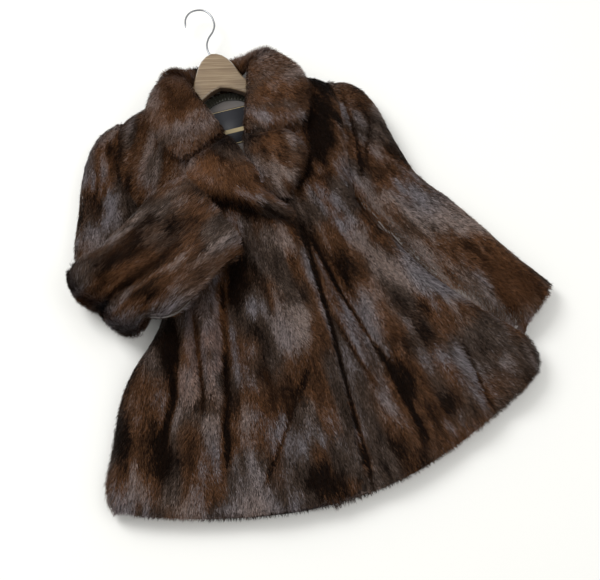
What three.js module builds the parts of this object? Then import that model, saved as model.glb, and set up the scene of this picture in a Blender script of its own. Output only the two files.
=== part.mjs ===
// A short fur coat with a wide notched collar, laid on its back on a flat surface and buttonless, its right
// front over its left. The left sleeve lies beside the body, the right one is folded up over the front.
// A wooden hanger is in the shoulders, and its hook lies above the collar.
// Millimetres, +Z up, the surface is z = 0, the neck points to +Y and the coat's left is at +X.
import * as THREE from "three";

// Driving sizes
const AXIS = -40; // the coat's centre line, as an X
const WALL = 9; // skin, lining and combed pile together
const SEAM = 0.4; // clearance where two pieces are sewn or lie together
const FLOOR_FUR = WALL + SEAM; // the height at which the fronts stand on the back
const OVERLAP_RISE = 5; // the right front climbs this much to lie on the left one
const OVERLAP_SINK = 6.6; // and the left one sinks this much under it
const OVERLAP = 70; // how far the left front runs on under the right one
const EDGE_ROUND = 28; // the roll of the fur where front meets back, at the sides and shoulders
const HIDDEN_SLEEVE = 24; // the height of the left sleeve where the body lies on it
const HANGER = { low: 22.5, thick: 17, bevel: 3 };
const WIRE = 3.6; // the hook's diameter

// Small helpers for curves and blends

const clamp01 = (t) => Math.min(1, Math.max(0, t));

function smooth(from, to, x) {
  const t = clamp01((x - from) / (to - from));
  return t * t * (3 - 2 * t);
}

// Rises from 0 as a quarter circle does, and stays 1 beyond the given radius.
function roll(distance, radius) {
  const t = 1 - clamp01(distance / radius);
  return Math.sqrt(Math.max(0, 1 - t * t));
}

// A table's value at x, its rows sorted by the first column, with straight runs between them.
function lookUp(table, key, value, x) {
  const last = table[table.length - 1];
  if ((x - table[0][key]) * (last[key] - table[0][key]) <= 0) return table[0][value];
  for (let i = 1; i < table.length; i++) {
    const [a, b] = [table[i - 1], table[i]];
    const t = (x - a[key]) / (b[key] - a[key]);
    if (t <= 1) return THREE.MathUtils.lerp(a[value], b[value], t);
  }
  return last[value];
}

// A smooth plan curve through a few points [x, y].
function planCurve(points) {
  const curve = new THREE.CatmullRomCurve3(
    points.map(([x, y]) => new THREE.Vector3(x, y, 0)),
    false,
    "centripetal",
  );
  curve.arcLengthDivisions = 400;
  return curve;
}

// Where (x, y) lies against a chord that bends sideways: how far along it, 0 to 1, and how far to its left.
function besideChord({ x0, y0, x1, y1, bend = 0 }, x, y) {
  const [dx, dy] = [x1 - x0, y1 - y0];
  const length = Math.hypot(dx, dy);
  const along = ((x - x0) * dx + (y - y0) * dy) / (length * length);
  const t = clamp01(along);
  const side = ((x - x0) * -dy + (y - y0) * dx) / length - bend * 4 * t * (1 - t);
  return { along, side };
}

// The sum of soft folds at (x, y). A fold runs along a bent chord; rise is above 0 for a ridge and below 0
// for a groove, width is half its spread, and begin and end are the shares of its length over which it fades.
function foldsAt(folds, x, y) {
  let z = 0;
  for (const fold of folds) {
    const { along, side } = besideChord(fold, x, y);
    const fade =
      smooth(-0.02, fold.begin ?? 0.2, along) * (1 - smooth(1 - (fold.end ?? 0.2), 1.02, along));
    z += fold.rise * fade * Math.exp(-((side / fold.width) ** 2));
  }
  return z;
}

// Building walls

// A closed solid between two grids of points, outer and inner, which share their row and column counts.
function wallBetween(outer, inner) {
  const [rows, columns] = [outer.length, outer[0].length];
  const points = [...outer.flat(), ...inner.flat()];
  const at = (layer, i, j) => layer * rows * columns + i * columns + j;
  const index = [];
  const quad = (a, b, c, d) => index.push(a, b, c, a, c, d);
  for (let i = 0; i + 1 < rows; i++) {
    for (let j = 0; j + 1 < columns; j++) {
      quad(at(0, i, j), at(0, i, j + 1), at(0, i + 1, j + 1), at(0, i + 1, j));
      quad(at(1, i, j), at(1, i + 1, j), at(1, i + 1, j + 1), at(1, i, j + 1));
    }
    const k = columns - 1;
    quad(at(0, i, 0), at(0, i + 1, 0), at(1, i + 1, 0), at(1, i, 0));
    quad(at(0, i + 1, k), at(0, i, k), at(1, i, k), at(1, i + 1, k));
  }
  for (let j = 0; j + 1 < columns; j++) {
    const k = rows - 1;
    quad(at(0, 0, j + 1), at(0, 0, j), at(1, 0, j), at(1, 0, j + 1));
    quad(at(0, k, j), at(0, k, j + 1), at(1, k, j + 1), at(1, k, j));
  }
  return facingOut(points, index);
}

// A closed solid through rings of points, each ring closed on itself, with a fan of faces at each end.
function throughRings(rings) {
  const size = rings[0].length;
  const points = rings.flat();
  const index = [];
  for (let i = 0; i + 1 < rings.length; i++) {
    for (let j = 0; j < size; j++) {
      const [a, b] = [i * size + j, i * size + ((j + 1) % size)];
      index.push(a, b, b + size, a, b + size, a + size);
    }
  }
  for (const [row, turn] of [
    [0, false],
    [rings.length - 1, true],
  ]) {
    const centre = points.length;
    const ring = rings[row];
    points.push(ring.reduce((s, p) => s.add(p), new THREE.Vector3()).divideScalar(size));
    for (let j = 0; j < size; j++) {
      const [a, b] = [row * size + j, row * size + ((j + 1) % size)];
      index.push(...(turn ? [centre, a, b] : [centre, b, a]));
    }
  }
  return facingOut(points, index);
}

// A geometry from points and faces, with every face turned round if together they enclose less than nothing.
function facingOut(points, index) {
  let volume = 0;
  for (let i = 0; i < index.length; i += 3) {
    const [a, b, c] = [points[index[i]], points[index[i + 1]], points[index[i + 2]]];
    volume += a.dot(new THREE.Vector3().crossVectors(b, c));
  }
  if (volume < 0) {
    for (let i = 0; i < index.length; i += 3) {
      [index[i + 1], index[i + 2]] = [index[i + 2], index[i + 1]];
    }
  }
  const geometry = new THREE.BufferGeometry().setFromPoints(points);
  geometry.setIndex(index);
  geometry.computeVertexNormals();
  return geometry;
}

// The plan point at (u, v) of a panel with four edge curves: top and hem run with u, side and edge with v.
function panelPoint({ top, hem, side, edge }, u, v) {
  const point = new THREE.Vector3();
  point.addScaledVector(top.getPointAt(u), 1 - v).addScaledVector(hem.getPointAt(u), v);
  point.addScaledVector(side.getPointAt(v), 1 - u).addScaledVector(edge.getPointAt(v), u);
  point.addScaledVector(top.getPointAt(0), -(1 - u) * (1 - v));
  point.addScaledVector(top.getPointAt(1), -u * (1 - v));
  point.addScaledVector(hem.getPointAt(0), -(1 - u) * v);
  return point.addScaledVector(hem.getPointAt(1), -u * v);
}

// Materials, with the photograph's colours

const FUR = new THREE.MeshStandardMaterial({ color: 0x3b241b, roughness: 0.75, metalness: 0 });
const LINING_CLOTH = new THREE.MeshStandardMaterial({ color: 0x4a4146, roughness: 0.4, metalness: 0 });
const TRIM = new THREE.MeshStandardMaterial({ color: 0x23241f, roughness: 0.35, metalness: 0 });
const LABEL = new THREE.MeshStandardMaterial({ color: 0x2c3144, roughness: 0.5, metalness: 0 });
const WOOD = new THREE.MeshStandardMaterial({ color: 0xa5835a, roughness: 0.35, metalness: 0 });
const CHROME = new THREE.MeshStandardMaterial({ color: 0xc8cacc, roughness: 0.15, metalness: 1 });

const coat = new THREE.Group();

function addPiece(name, geometry, material) {
  const mesh = new THREE.Mesh(geometry, material);
  mesh.name = name;
  coat.add(mesh);
}

// The body's plan outline, seam by seam

const RIGHT_ARMHOLE = [
  [-234, 287],
  [-251, 227],
  [-257, 165],
  [-249, 105],
  [-223, 58],
];
const RIGHT_SIDE = [
  [-222, 20],
  [-226, -30],
  [-243, -85],
  [-279, -148],
  [-314, -181],
  [-348, -223],
  [-385, -318],
  [-410, -377],
];
const RIGHT_CORNER = [-401, -413];
const LEFT_ARMHOLE = [
  [155, 269],
  [158, 205],
  [150, 150],
  [138, 85],
  [128, 10],
];
const LEFT_SIDE = [
  [132, -28],
  [156, -79],
  [193, -153],
  [241, -221],
  [279, -272],
  [310, -312],
  [334, -344],
];
const LEFT_CORNER = [320, -379];
const RIGHT_NECK = [-100, 321];
const LEFT_NECK = [20, 317];
const RIGHT_ROLL = [
  [-92, 285],
  [-76, 230],
  [-62, 180],
  [-46, 130],
  [-39, 100],
  [-39, 70],
  [-28, 45],
  [-9, 22],
];
const LEFT_ROLL = [
  [2, 271],
  [-14, 232],
  [-34, 170],
  [-50, 90],
];
const BREAK_POINT = [10, -18]; // where the lapels end and the closing edge begins
const CLOSING_EDGE = [
  [11, -110],
  [9, -190],
  [4, -310],
];
const CLOSING_CORNER = [-12, -483];

const rightArmhole = planCurve(RIGHT_ARMHOLE);
const leftArmhole = planCurve(LEFT_ARMHOLE);
const rightSide = planCurve([...RIGHT_ARMHOLE, ...RIGHT_SIDE, RIGHT_CORNER]);
const leftSide = planCurve([...LEFT_ARMHOLE, ...LEFT_SIDE, LEFT_CORNER]);

const RIGHT_FRONT = {
  top: planCurve([RIGHT_ARMHOLE[0], [-190, 304], [-145, 315], RIGHT_NECK]),
  side: rightSide,
  edge: planCurve([RIGHT_NECK, ...RIGHT_ROLL, BREAK_POINT, ...CLOSING_EDGE, CLOSING_CORNER]),
  hem: planCurve([
    RIGHT_CORNER,
    [-355, -434],
    [-286, -458],
    [-216, -476],
    [-131, -491],
    [-73, -494],
    CLOSING_CORNER,
  ]),
  armholeShare: rightArmhole.getLength() / rightSide.getLength(),
};

const UNDER_DROP = 14; // the left front's edge also runs this much lower than the right one's
const underClosing = ([x, y]) => [x - OVERLAP, y - UNDER_DROP];
const LEFT_FRONT = {
  top: planCurve([LEFT_ARMHOLE[0], [115, 291], [68, 307], LEFT_NECK]),
  side: leftSide,
  edge: planCurve([
    LEFT_NECK,
    ...LEFT_ROLL,
    underClosing(BREAK_POINT),
    ...CLOSING_EDGE.map(underClosing),
    underClosing(CLOSING_CORNER),
  ]),
  hem: planCurve([
    LEFT_CORNER,
    [266, -415],
    [203, -443],
    [136, -468],
    [56, -489],
    [-18, -498],
    underClosing(CLOSING_CORNER),
  ]),
  armholeShare: leftArmhole.getLength() / leftSide.getLength(),
};

// How high the fur of the fronts stands, at the centre line and towards the sides
const BODY_HEIGHT = [
  { y: 330, middle: 55, side: 55 },
  { y: 100, middle: 55, side: 54 },
  { y: 0, middle: 50, side: 48 },
  { y: -150, middle: 43, side: 41 },
  { y: -300, middle: 38, side: 35 },
  { y: -420, middle: 35, side: 32 },
  { y: -495, middle: 31, side: 28 },
];
const MIDDLE_PART = { from: 75, to: 300 }; // how far from the centre line the side's height takes over

// The deep folds of the skirt and the softer ones of the chest
const RIGHT_FOLDS = [
  { x0: -128, y0: -10, x1: -238, y1: -490, bend: 11, width: 15, rise: -16, begin: 0.15, end: 0.35 },
  { x0: -172, y0: -80, x1: -246, y1: -400, bend: 6, width: 19, rise: 10, begin: 0.35, end: 0.45 },
  { x0: -200, y0: -70, x1: -330, y1: -410, bend: 10, width: 17, rise: -16, begin: 0.3, end: 0.5 },
  { x0: -270, y0: -150, x1: -372, y1: -420, bend: 0, width: 26, rise: 6, begin: 0.3, end: 0.3 },
  { x0: -100, y0: -120, x1: -165, y1: -500, bend: 6, width: 30, rise: 7, begin: 0.3, end: 0.1 },
  { x0: -30, y0: -230, x1: -180, y1: -460, bend: 0, width: 24, rise: -9, begin: 0.3, end: 0.4 },
  { x0: -62, y0: -60, x1: -40, y1: -290, bend: 0, width: 26, rise: 4, begin: 0.3, end: 0.4 },
  { x0: -150, y0: 150, x1: -120, y1: 40, bend: 0, width: 20, rise: -4, begin: 0.4, end: 0.4 },
];
const LEFT_FOLDS = [
  { x0: 24, y0: -14, x1: 106, y1: -490, bend: 4, width: 14, rise: -16, begin: 0.14, end: 0.3 },
  { x0: 56, y0: -40, x1: 134, y1: -430, bend: 4, width: 18, rise: 11, begin: 0.25, end: 0.4 },
  { x0: 126, y0: -300, x1: 158, y1: -490, bend: 0, width: 20, rise: -8, begin: 0.4, end: 0.2 },
  { x0: 172, y0: -300, x1: 200, y1: -470, bend: 0, width: 17, rise: 7, begin: 0.4, end: 0.2 },
  { x0: 204, y0: -310, x1: 236, y1: -460, bend: 0, width: 16, rise: -11, begin: 0.4, end: 0.25 },
  { x0: 120, y0: -160, x1: 212, y1: -340, bend: 0, width: 20, rise: 6, begin: 0.4, end: 0.4 },
  { x0: 96, y0: -60, x1: 138, y1: -260, bend: 0, width: 24, rise: 5, begin: 0.4, end: 0.4 },
  { x0: 150, y0: -100, x1: 262, y1: -300, bend: 0, width: 16, rise: -7, begin: 0.3, end: 0.4 },
  { x0: 84, y0: 110, x1: 66, y1: 30, bend: 0, width: 18, rise: -3, begin: 0.4, end: 0.4 },
];

// The side of the body lies on the left sleeve: its inner edge and cuff as chords, and the lift over them
const SLEEVE_INNER_EDGE = { x0: 134, y0: -28, x1: 276, y1: -352, bend: -14 };
const CUFF_LINE = { x0: 276, y0: -352, x1: 400, y1: -250 };
const SIDE_CLIMB = { from: -34, to: -6 }; // where the cloth climbs onto the sleeve, beside its inner edge
const CUFF_CLIMB = { from: -46, to: -14 }; // beside its cuff
const LIFT_START = { from: 14, to: -22 }; // and below the armpit
const LIFT_SHOWN = 0.85; // the share of the lift that the fur's surface shows

function liftAt(x, y) {
  const onSleeve = smooth(SIDE_CLIMB.from, SIDE_CLIMB.to, besideChord(SLEEVE_INNER_EDGE, x, y).side);
  const aboveCuff = smooth(CUFF_CLIMB.from, CUFF_CLIMB.to, besideChord(CUFF_LINE, x, y).side);
  const below = smooth(LIFT_START.from, LIFT_START.to, y);
  return (HIDDEN_SLEEVE + 1) * onSleeve * aboveCuff * below;
}

function bodyHeight(x, y) {
  const outward = smooth(MIDDLE_PART.from, MIDDLE_PART.to, Math.abs(x - AXIS));
  const middle = lookUp(BODY_HEIGHT, "y", "middle", y);
  const side = lookUp(BODY_HEIGHT, "y", "side", y);
  return THREE.MathUtils.lerp(middle, side, outward) + LIFT_SHOWN * liftAt(x, y);
}

// The rows of the body's three panels, as shares of the way from the shoulders to the hem
const SHOULDER_ROWS = [0, 0.01, 0.024, 0.044];
const EVEN_ROWS = 20;
const BODY_ROWS = [...SHOULDER_ROWS];
const lastShoulderRow = SHOULDER_ROWS[SHOULDER_ROWS.length - 1];
for (let i = 1; i <= EVEN_ROWS; i++) {
  BODY_ROWS.push(THREE.MathUtils.lerp(lastShoulderRow, 1, i / EVEN_ROWS));
}

// One front: its fur stands on the back at the shoulder and side seams, and is open at hem and closing edge.
const FRONT_COLUMNS = 20;
const FRONT_SPACING = 1.25; // above 1, the columns stand closer together towards the side
const SEAM_RISE = 0.45; // below 1, the fur rises soon from the two ends of the armhole seam
const SLOPE_CLEAR = 2.6; // more clearance where both panels climb onto the sleeve
const SEAM_DIP = { depth: 5, run: 12 }; // the armhole seam pulls the fur in

function frontPanel(outline, heightAt) {
  const outer = [];
  const inner = [];
  BODY_ROWS.forEach((v, i) => {
    const atSide = panelPoint(outline, 0, v);
    const inArmhole = v / outline.armholeShare;
    const seamHeight = inArmhole < 1 ? Math.sin(Math.PI * inArmhole) ** SEAM_RISE : 0;
    outer.push([]);
    inner.push([]);
    for (let j = 0; j <= FRONT_COLUMNS; j++) {
      const u = (j / FRONT_COLUMNS) ** FRONT_SPACING;
      const p = panelPoint(outline, u, v);
      const fromSide = p.distanceTo(atSide);
      const fromShoulder = p.distanceTo(panelPoint(outline, u, 0));
      const lift = liftAt(p.x, p.y);
      const slope = (4 * lift * (HIDDEN_SLEEVE + 1 - lift)) / (HIDDEN_SLEEVE + 1) ** 2;
      const foot = FLOOR_FUR + lift + SLOPE_CLEAR * slope;
      const sideRoll = seamHeight + (1 - seamHeight) * roll(fromSide, EDGE_ROUND);
      const rolled = roll(fromShoulder, EDGE_ROUND) * sideRoll;
      const dip = SEAM_DIP.depth * seamHeight * (1 - smooth(0, SEAM_DIP.run, fromSide));
      const z = foot + (heightAt(p.x, p.y) - foot) * rolled - dip;
      outer[i].push(new THREE.Vector3(p.x, p.y, z));
      const towardsSide = atSide.clone().sub(p);
      if (towardsSide.lengthSq() === 0) towardsSide.copy(atSide).sub(panelPoint(outline, 0.05, v));
      const inset = -WALL * (1 - clamp01(fromSide / EDGE_ROUND)) * (1 - seamHeight);
      const q = p.clone().addScaledVector(towardsSide.normalize(), inset);
      const down = new THREE.Vector3(0, -1, 0);
      q.addScaledVector(down, WALL * (1 - clamp01(fromShoulder / EDGE_ROUND)));
      inner[i].push(new THREE.Vector3(q.x, q.y, Math.max(z - WALL * rolled, foot)));
    }
  });
  return wallBetween(outer, inner);
}

const COVERED = { from: 22, to: 4, moreByLapel: 16 }; // the sunk part runs on this much past the closing edge
const LAPEL_END = { from: -40, to: 0 };
const OVERLAP_RUN = 34; // the ground on which the right front comes down beyond the overlap

function leftFrontHeight(x, y) {
  const past = x - closingX(y) - COVERED.moreByLapel * smooth(LAPEL_END.from, LAPEL_END.to, y);
  const covered = smooth(COVERED.from, COVERED.to, past);
  return bodyHeight(x, y) - OVERLAP_SINK * covered + (1 - covered) * foldsAt(LEFT_FOLDS, x, y);
}

const closingLine = planCurve([
  RIGHT_NECK,
  ...RIGHT_ROLL,
  BREAK_POINT,
  ...CLOSING_EDGE,
  CLOSING_CORNER,
]).getPoints(60);

function closingX(y) {
  const table = closingLine.map((p) => ({ y: p.y, x: p.x }));
  return lookUp(table, "y", "x", y);
}

// Past the left front's edge the right front comes down to the common height again.
function rightFrontHeight(x, y) {
  const fromClosing = closingX(y) - x;
  const beyond = smooth(OVERLAP, OVERLAP + OVERLAP_RUN, fromClosing);
  const folds = foldsAt(RIGHT_FOLDS, x, y);
  return bodyHeight(x, y) + OVERLAP_RISE * (1 - beyond) + Math.max(folds, folds * beyond);
}

addPiece("front_left", frontPanel(LEFT_FRONT, leftFrontHeight), FUR);
addPiece("front_right", frontPanel(RIGHT_FRONT, rightFrontHeight), FUR);

// The back lies flat on the surface, and its left side climbs onto the sleeve there.
const BACK_COLUMNS = 18;
const BACK_SPACING = 1.5; // above 1, the columns stand closer together towards the left side
const BACK_TOP = planCurve([
  RIGHT_ARMHOLE[0],
  [-190, 304],
  [-145, 315],
  RIGHT_NECK,
  [-70, 324],
  [-40, 325],
  [-10, 323],
  LEFT_NECK,
  [68, 307],
  [115, 291],
  LEFT_ARMHOLE[0],
]);
const BACK_HEM = planCurve([
  RIGHT_CORNER,
  [-355, -434],
  [-286, -459],
  [-216, -478],
  [-131, -495],
  [-40, -500],
  [56, -491],
  [136, -469],
  [203, -444],
  [266, -416],
  LEFT_CORNER,
]);

function backPanel() {
  const outline = { top: BACK_TOP, hem: BACK_HEM, side: rightSide, edge: leftSide };
  const upper = [];
  const lower = [];
  BODY_ROWS.forEach((v, i) => {
    upper.push([]);
    lower.push([]);
    for (let j = 0; j <= BACK_COLUMNS; j++) {
      const u = 1 - (1 - j / BACK_COLUMNS) ** BACK_SPACING;
      const p = panelPoint(outline, u, v);
      const lift = liftAt(p.x, p.y);
      lower[i].push(new THREE.Vector3(p.x, p.y, lift));
      upper[i].push(new THREE.Vector3(p.x, p.y, lift + WALL));
    }
  });
  return wallBetween(upper, lower);
}

addPiece("back", backPanel(), FUR);

// Sleeves are flattened tubes. Each is two walls, which meet along its two long edges.

// A point of a flattened oval at angle t, 0 to PI from its first edge to its last: its share of the half
// width, -1 to 1, and of the half height, 0 to 1.
function oval(t, squareness) {
  const power = 2 / squareness;
  const [c, s] = [Math.cos(t), Math.sin(t)];
  return [-Math.sign(c) * Math.abs(c) ** power, Math.max(s, 0) ** power];
}

// The two walls of a sleeve through its sections. A section gives, for a share across and a height above the
// section's middle, a point; its half width and half heights set how much the wall's thickness takes away.
function sleeveWall(sections, columns, upwards) {
  const outer = [];
  const inner = [];
  for (const section of sections) {
    const half = upwards ? section.up : section.down;
    outer.push([]);
    inner.push([]);
    for (let j = 0; j <= columns; j++) {
      const [across, height] = oval((Math.PI * j) / columns, section.squareness);
      const seam = SEAM / 2;
      const sign = upwards ? 1 : -1;
      const dent = upwards && section.dent ? section.dent(across) * height : 0;
      outer[outer.length - 1].push(section.at(across, sign * (seam + half * height - dent)));
      const thinner = (section.halfWidth - WALL) / section.halfWidth;
      const innerHeight = sign * (seam + (half - WALL) * height - dent);
      inner[inner.length - 1].push(section.at(across * thinner, innerHeight));
    }
  }
  return wallBetween(outer, inner);
}

// The left sleeve, from its head at the armhole to its open cuff. Its inner side goes under the body.
const HEAD_STEPS = 8;

// A sleeve's head: points along the armhole, the first share of the body's side, with a gap to it.
function besideArmhole(side, share, gaps) {
  return Array.from({ length: HEAD_STEPS + 1 }, (_, i) => {
    const p = side.getPointAt((share * i) / HEAD_STEPS);
    const d = side.getTangentAt((share * i) / HEAD_STEPS);
    const gap = THREE.MathUtils.lerp(gaps.shoulder, gaps.armpit, i / HEAD_STEPS);
    return [p.x - d.y * gap, p.y + d.x * gap];
  });
}
const LEFT_HEAD = besideArmhole(leftSide, LEFT_FRONT.armholeShare, { shoulder: 0.9, armpit: 1 });
const RIGHT_HEAD = besideArmhole(rightSide, RIGHT_FRONT.armholeShare, { shoulder: -1.4, armpit: -3.4 });
const LEFT_CUFF_TOP = [403, -239];
const LEFT_CUFF_BOTTOM = [282, -342];
const LEFT_SLEEVE = {
  head: planCurve(LEFT_HEAD),
  outer: planCurve([
    LEFT_HEAD[0],
    [187, 266],
    [211, 242],
    [225, 206],
    [230, 167],
    [230, 139],
    [237, 113],
    [242, 91],
    [241, 70],
    [246, 45],
    [262, 17],
    [286, -20],
    [310, -66],
    [336, -118],
    [364, -175],
    [391, -217],
    LEFT_CUFF_TOP,
  ]),
  inner: planCurve([
    LEFT_HEAD[LEFT_HEAD.length - 1],
    [136, -20],
    [144, -44],
    [162, -92],
    [192, -170],
    [238, -262],
    LEFT_CUFF_BOTTOM,
  ]),
  cuff: planCurve([LEFT_CUFF_TOP, [386, -264], [356, -286], [322, -312], LEFT_CUFF_BOTTOM]),
};
const LEFT_SLEEVE_SIZES = [
  { v: 0, top: 50, squareness: 3.2 },
  { v: 0.12, top: 56, squareness: 2.8 },
  { v: 0.35, top: 50, squareness: 2.6 },
  { v: 0.7, top: 46, squareness: 2.5 },
  { v: 0.93, top: 43, squareness: 2.5 },
  { v: 1, top: 38, squareness: 2.5 },
];
const LEFT_SLEEVE_GRID = { along: 18, across: 10 };
const LEFT_SLEEVE_FOLDS = [
  { x0: 160, y0: 205, x1: 212, y1: 160, bend: 6, width: 9, rise: -6, begin: 0.05, end: 0.6 },
  { x0: 158, y0: 165, x1: 206, y1: 120, bend: 4, width: 8, rise: -6, begin: 0.05, end: 0.6 },
  { x0: 150, y0: 110, x1: 226, y1: 66, bend: -10, width: 9, rise: -6, begin: 0.2, end: 0.4 },
  { x0: 176, y0: 60, x1: 236, y1: 52, bend: -12, width: 8, rise: -7, begin: 0.3, end: 0.3 },
  { x0: 190, y0: 10, x1: 262, y1: -110, bend: 8, width: 14, rise: -4, begin: 0.3, end: 0.4 },
  { x0: 268, y0: -120, x1: 352, y1: -238, bend: 6, width: 13, rise: -5, begin: 0.3, end: 0.3 },
];
const SLEEVE_MIDDLE = 12; // the height of the side edges of a sleeve on the surface
const UNDERSIDE_ROUND = 2; // the underside would bulge this much more if the surface let it
const BESIDE_BODY = { from: 5, to: 46 }; // how far out of the body's side the sleeve gets its full height
const NEAR_ARMPIT = { from: -6, to: 14 }; // above the armpit it has its full height everywhere
const PRESSED = { room: 11.4, wall: 13, lining: 0.55 }; // how far a pressed sleeve's walls rise
const FOLD_RISE = { from: 14, to: 34 }; // folds are on the upper wall only

const bodySideLine = leftSide.getPoints(80);

// How far (x, y) lies outside the body's left side, below 0 under the body.
function outsideBody(x, y) {
  let best = Infinity;
  let sign = 1;
  for (let i = 1; i < bodySideLine.length; i++) {
    const [a, b] = [bodySideLine[i - 1], bodySideLine[i]];
    const [dx, dy] = [b.x - a.x, b.y - a.y];
    const t = clamp01(((x - a.x) * dx + (y - a.y) * dy) / (dx * dx + dy * dy));
    const distance = Math.hypot(x - a.x - t * dx, y - a.y - t * dy);
    if (distance < best) {
      best = distance;
      sign = (x - a.x) * -dy + (y - a.y) * dx > 0 ? 1 : -1;
    }
  }
  return sign * best;
}

function leftSleeveSections() {
  const { head, cuff, outer, inner } = LEFT_SLEEVE;
  const outline = { top: head, hem: cuff, side: outer, edge: inner };
  const sections = [];
  for (let i = 0; i <= LEFT_SLEEVE_GRID.along; i++) {
    const v = i / LEFT_SLEEVE_GRID.along;
    const width = panelPoint(outline, 0, v).distanceTo(panelPoint(outline, 1, v));
    sections.push({
      halfWidth: width / 2,
      squareness: lookUp(LEFT_SLEEVE_SIZES, "v", "squareness", v),
      up: lookUp(LEFT_SLEEVE_SIZES, "v", "top", v) - SLEEVE_MIDDLE,
      down: SLEEVE_MIDDLE + UNDERSIDE_ROUND,
      at: (across, height) => {
        const p = panelPoint(outline, (1 + across) / 2, v);
        const clear = smooth(BESIDE_BODY.from, BESIDE_BODY.to, outsideBody(p.x, p.y));
        const free = Math.max(clear, smooth(NEAR_ARMPIT.from, NEAR_ARMPIT.to, p.y));
        const fold = foldsAt(LEFT_SLEEVE_FOLDS, p.x, p.y);
        const pressed = Math.min(height, PRESSED.room * (height > PRESSED.wall ? 1 : PRESSED.lining));
        const z = SLEEVE_MIDDLE + (height > 0 ? pressed + (height - pressed) * free : height);
        const folded = fold * smooth(FOLD_RISE.from, FOLD_RISE.to, height) * free;
        return new THREE.Vector3(p.x, p.y, Math.max(z + folded, 0));
      },
    });
  }
  return sections;
}

const leftSleeve = leftSleeveSections();
addPiece("sleeve_left_top", sleeveWall(leftSleeve, LEFT_SLEEVE_GRID.across, true), FUR);
addPiece("sleeve_left_under", sleeveWall(leftSleeve, LEFT_SLEEVE_GRID.across, false), FUR);

// The right sleeve runs to the elbow on the surface, and then back over itself and the right front.
const ELBOW_OUTER = [-366, 6];
const ELBOW_INNER = [-277, -126];
const RIGHT_UPPER_ARM = {
  head: planCurve(RIGHT_HEAD),
  outer: planCurve([
    RIGHT_HEAD[0],
    [-264, 283],
    [-291, 264],
    [-313, 233],
    [-328, 198],
    [-340, 161],
    [-354, 108],
    [-366, 75],
    [-374, 38],
    ELBOW_OUTER,
  ]),
  inner: planCurve([RIGHT_HEAD[RIGHT_HEAD.length - 1], [-232, 18], [-239, -34], [-256, -88], ELBOW_INNER]),
  elbow: planCurve([ELBOW_OUTER, [-321, -66], ELBOW_INNER]),
};
const RIGHT_FOREARM = {
  elbow: RIGHT_UPPER_ARM.elbow,
  outer: planCurve([
    ELBOW_OUTER,
    [-343, 9],
    [-313, 26],
    [-278, 47],
    [-236, 78],
    [-192, 106],
    [-160, 110],
  ]),
  inner: planCurve([
    ELBOW_INNER,
    [-248, -144],
    [-212, -132],
    [-177, -104],
    [-142, -81],
    [-100, -66],
  ]),
  cuff: planCurve([[-160, 110], [-150, 92], [-134, 59], [-118, 22], [-106, -8], [-97, -36], [-100, -66]]),
};
const ELBOW_OUTWARD = new THREE.Vector3(-0.836, -0.549, 0); // square to the elbow's fold, away from the body
const SLEEVE_SQUARENESS = 2.6;
const UPPER_ARM = { middle: 22.4, half: 23, under: 1.5 }; // its underside is flatter by under
const UPPER_ARM_HEAD = { run: 0.3, deeper: 4, squarer: 0.6 }; // the gathered head is fuller
const UPPER_FOLDS_FROM = 14; // folds are on the wall that shows
const FOREARM = { half: 20.5, down: 14, climb: 5, cuffFlatter: 0.12 };
const FOREARM_GROOVE = { width: 0.2, depth: 19 }; // the long fold between the forearm's two lobes
const ELBOW = { halfWidth: 80, turn: UPPER_ARM.half + 0.4, clear: 0.5 };
const RIGHT_SLEEVE_GRID = { upper: 9, turn: 6, forearm: 8, across: 12 };
const RIGHT_SLEEVE_FOLDS = [
  { x0: -252, y0: 225, x1: -296, y1: 190, bend: -6, width: 9, rise: -6, begin: 0.05, end: 0.6 },
  { x0: -258, y0: 180, x1: -312, y1: 128, bend: -8, width: 9, rise: -6, begin: 0.05, end: 0.6 },
  { x0: -254, y0: 130, x1: -300, y1: 92, bend: 0, width: 9, rise: -5, begin: 0.05, end: 0.5 },
  { x0: -345, y0: 92, x1: -290, y1: 62, bend: 0, width: 9, rise: -4, begin: 0.3, end: 0.4 },
];

function sleeveSection(outline, v, sizes) {
  const width = panelPoint(outline, 0, v).distanceTo(panelPoint(outline, 1, v));
  return { halfWidth: width / 2, squareness: SLEEVE_SQUARENESS, ...sizes };
}

const ELBOW_AXIS = UPPER_ARM.middle + ELBOW.turn; // the height of the line that the sleeve turns round

// How deep the forearm's long fold is, at a share across and with a part of its full depth.
function grooveDepth(across, part) {
  return FOREARM_GROOVE.depth * part * Math.exp(-((across / FOREARM_GROOVE.width) ** 2));
}

function upperArmSections() {
  const sections = [];
  const outline = {
    top: RIGHT_UPPER_ARM.head,
    hem: RIGHT_UPPER_ARM.elbow,
    side: RIGHT_UPPER_ARM.outer,
    edge: RIGHT_UPPER_ARM.inner,
  };
  for (let i = 0; i < RIGHT_SLEEVE_GRID.upper; i++) {
    const v = i / RIGHT_SLEEVE_GRID.upper;
    const head = 1 - smooth(0, UPPER_ARM_HEAD.run, v);
    sections.push(
      sleeveSection(outline, v, {
        up: UPPER_ARM.half - UPPER_ARM.under,
        down: UPPER_ARM.half + UPPER_ARM_HEAD.deeper * head,
        squareness: SLEEVE_SQUARENESS + UPPER_ARM_HEAD.squarer * head,
        at: (across, height) => {
          const p = panelPoint(outline, (1 + across) / 2, v);
          const fold = height < -UPPER_FOLDS_FROM ? foldsAt(RIGHT_SLEEVE_FOLDS, p.x, p.y) : 0;
          return new THREE.Vector3(p.x, p.y, Math.max(UPPER_ARM.middle - height + fold, 0));
        },
      }),
    );
  }
  return sections;
}

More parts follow.
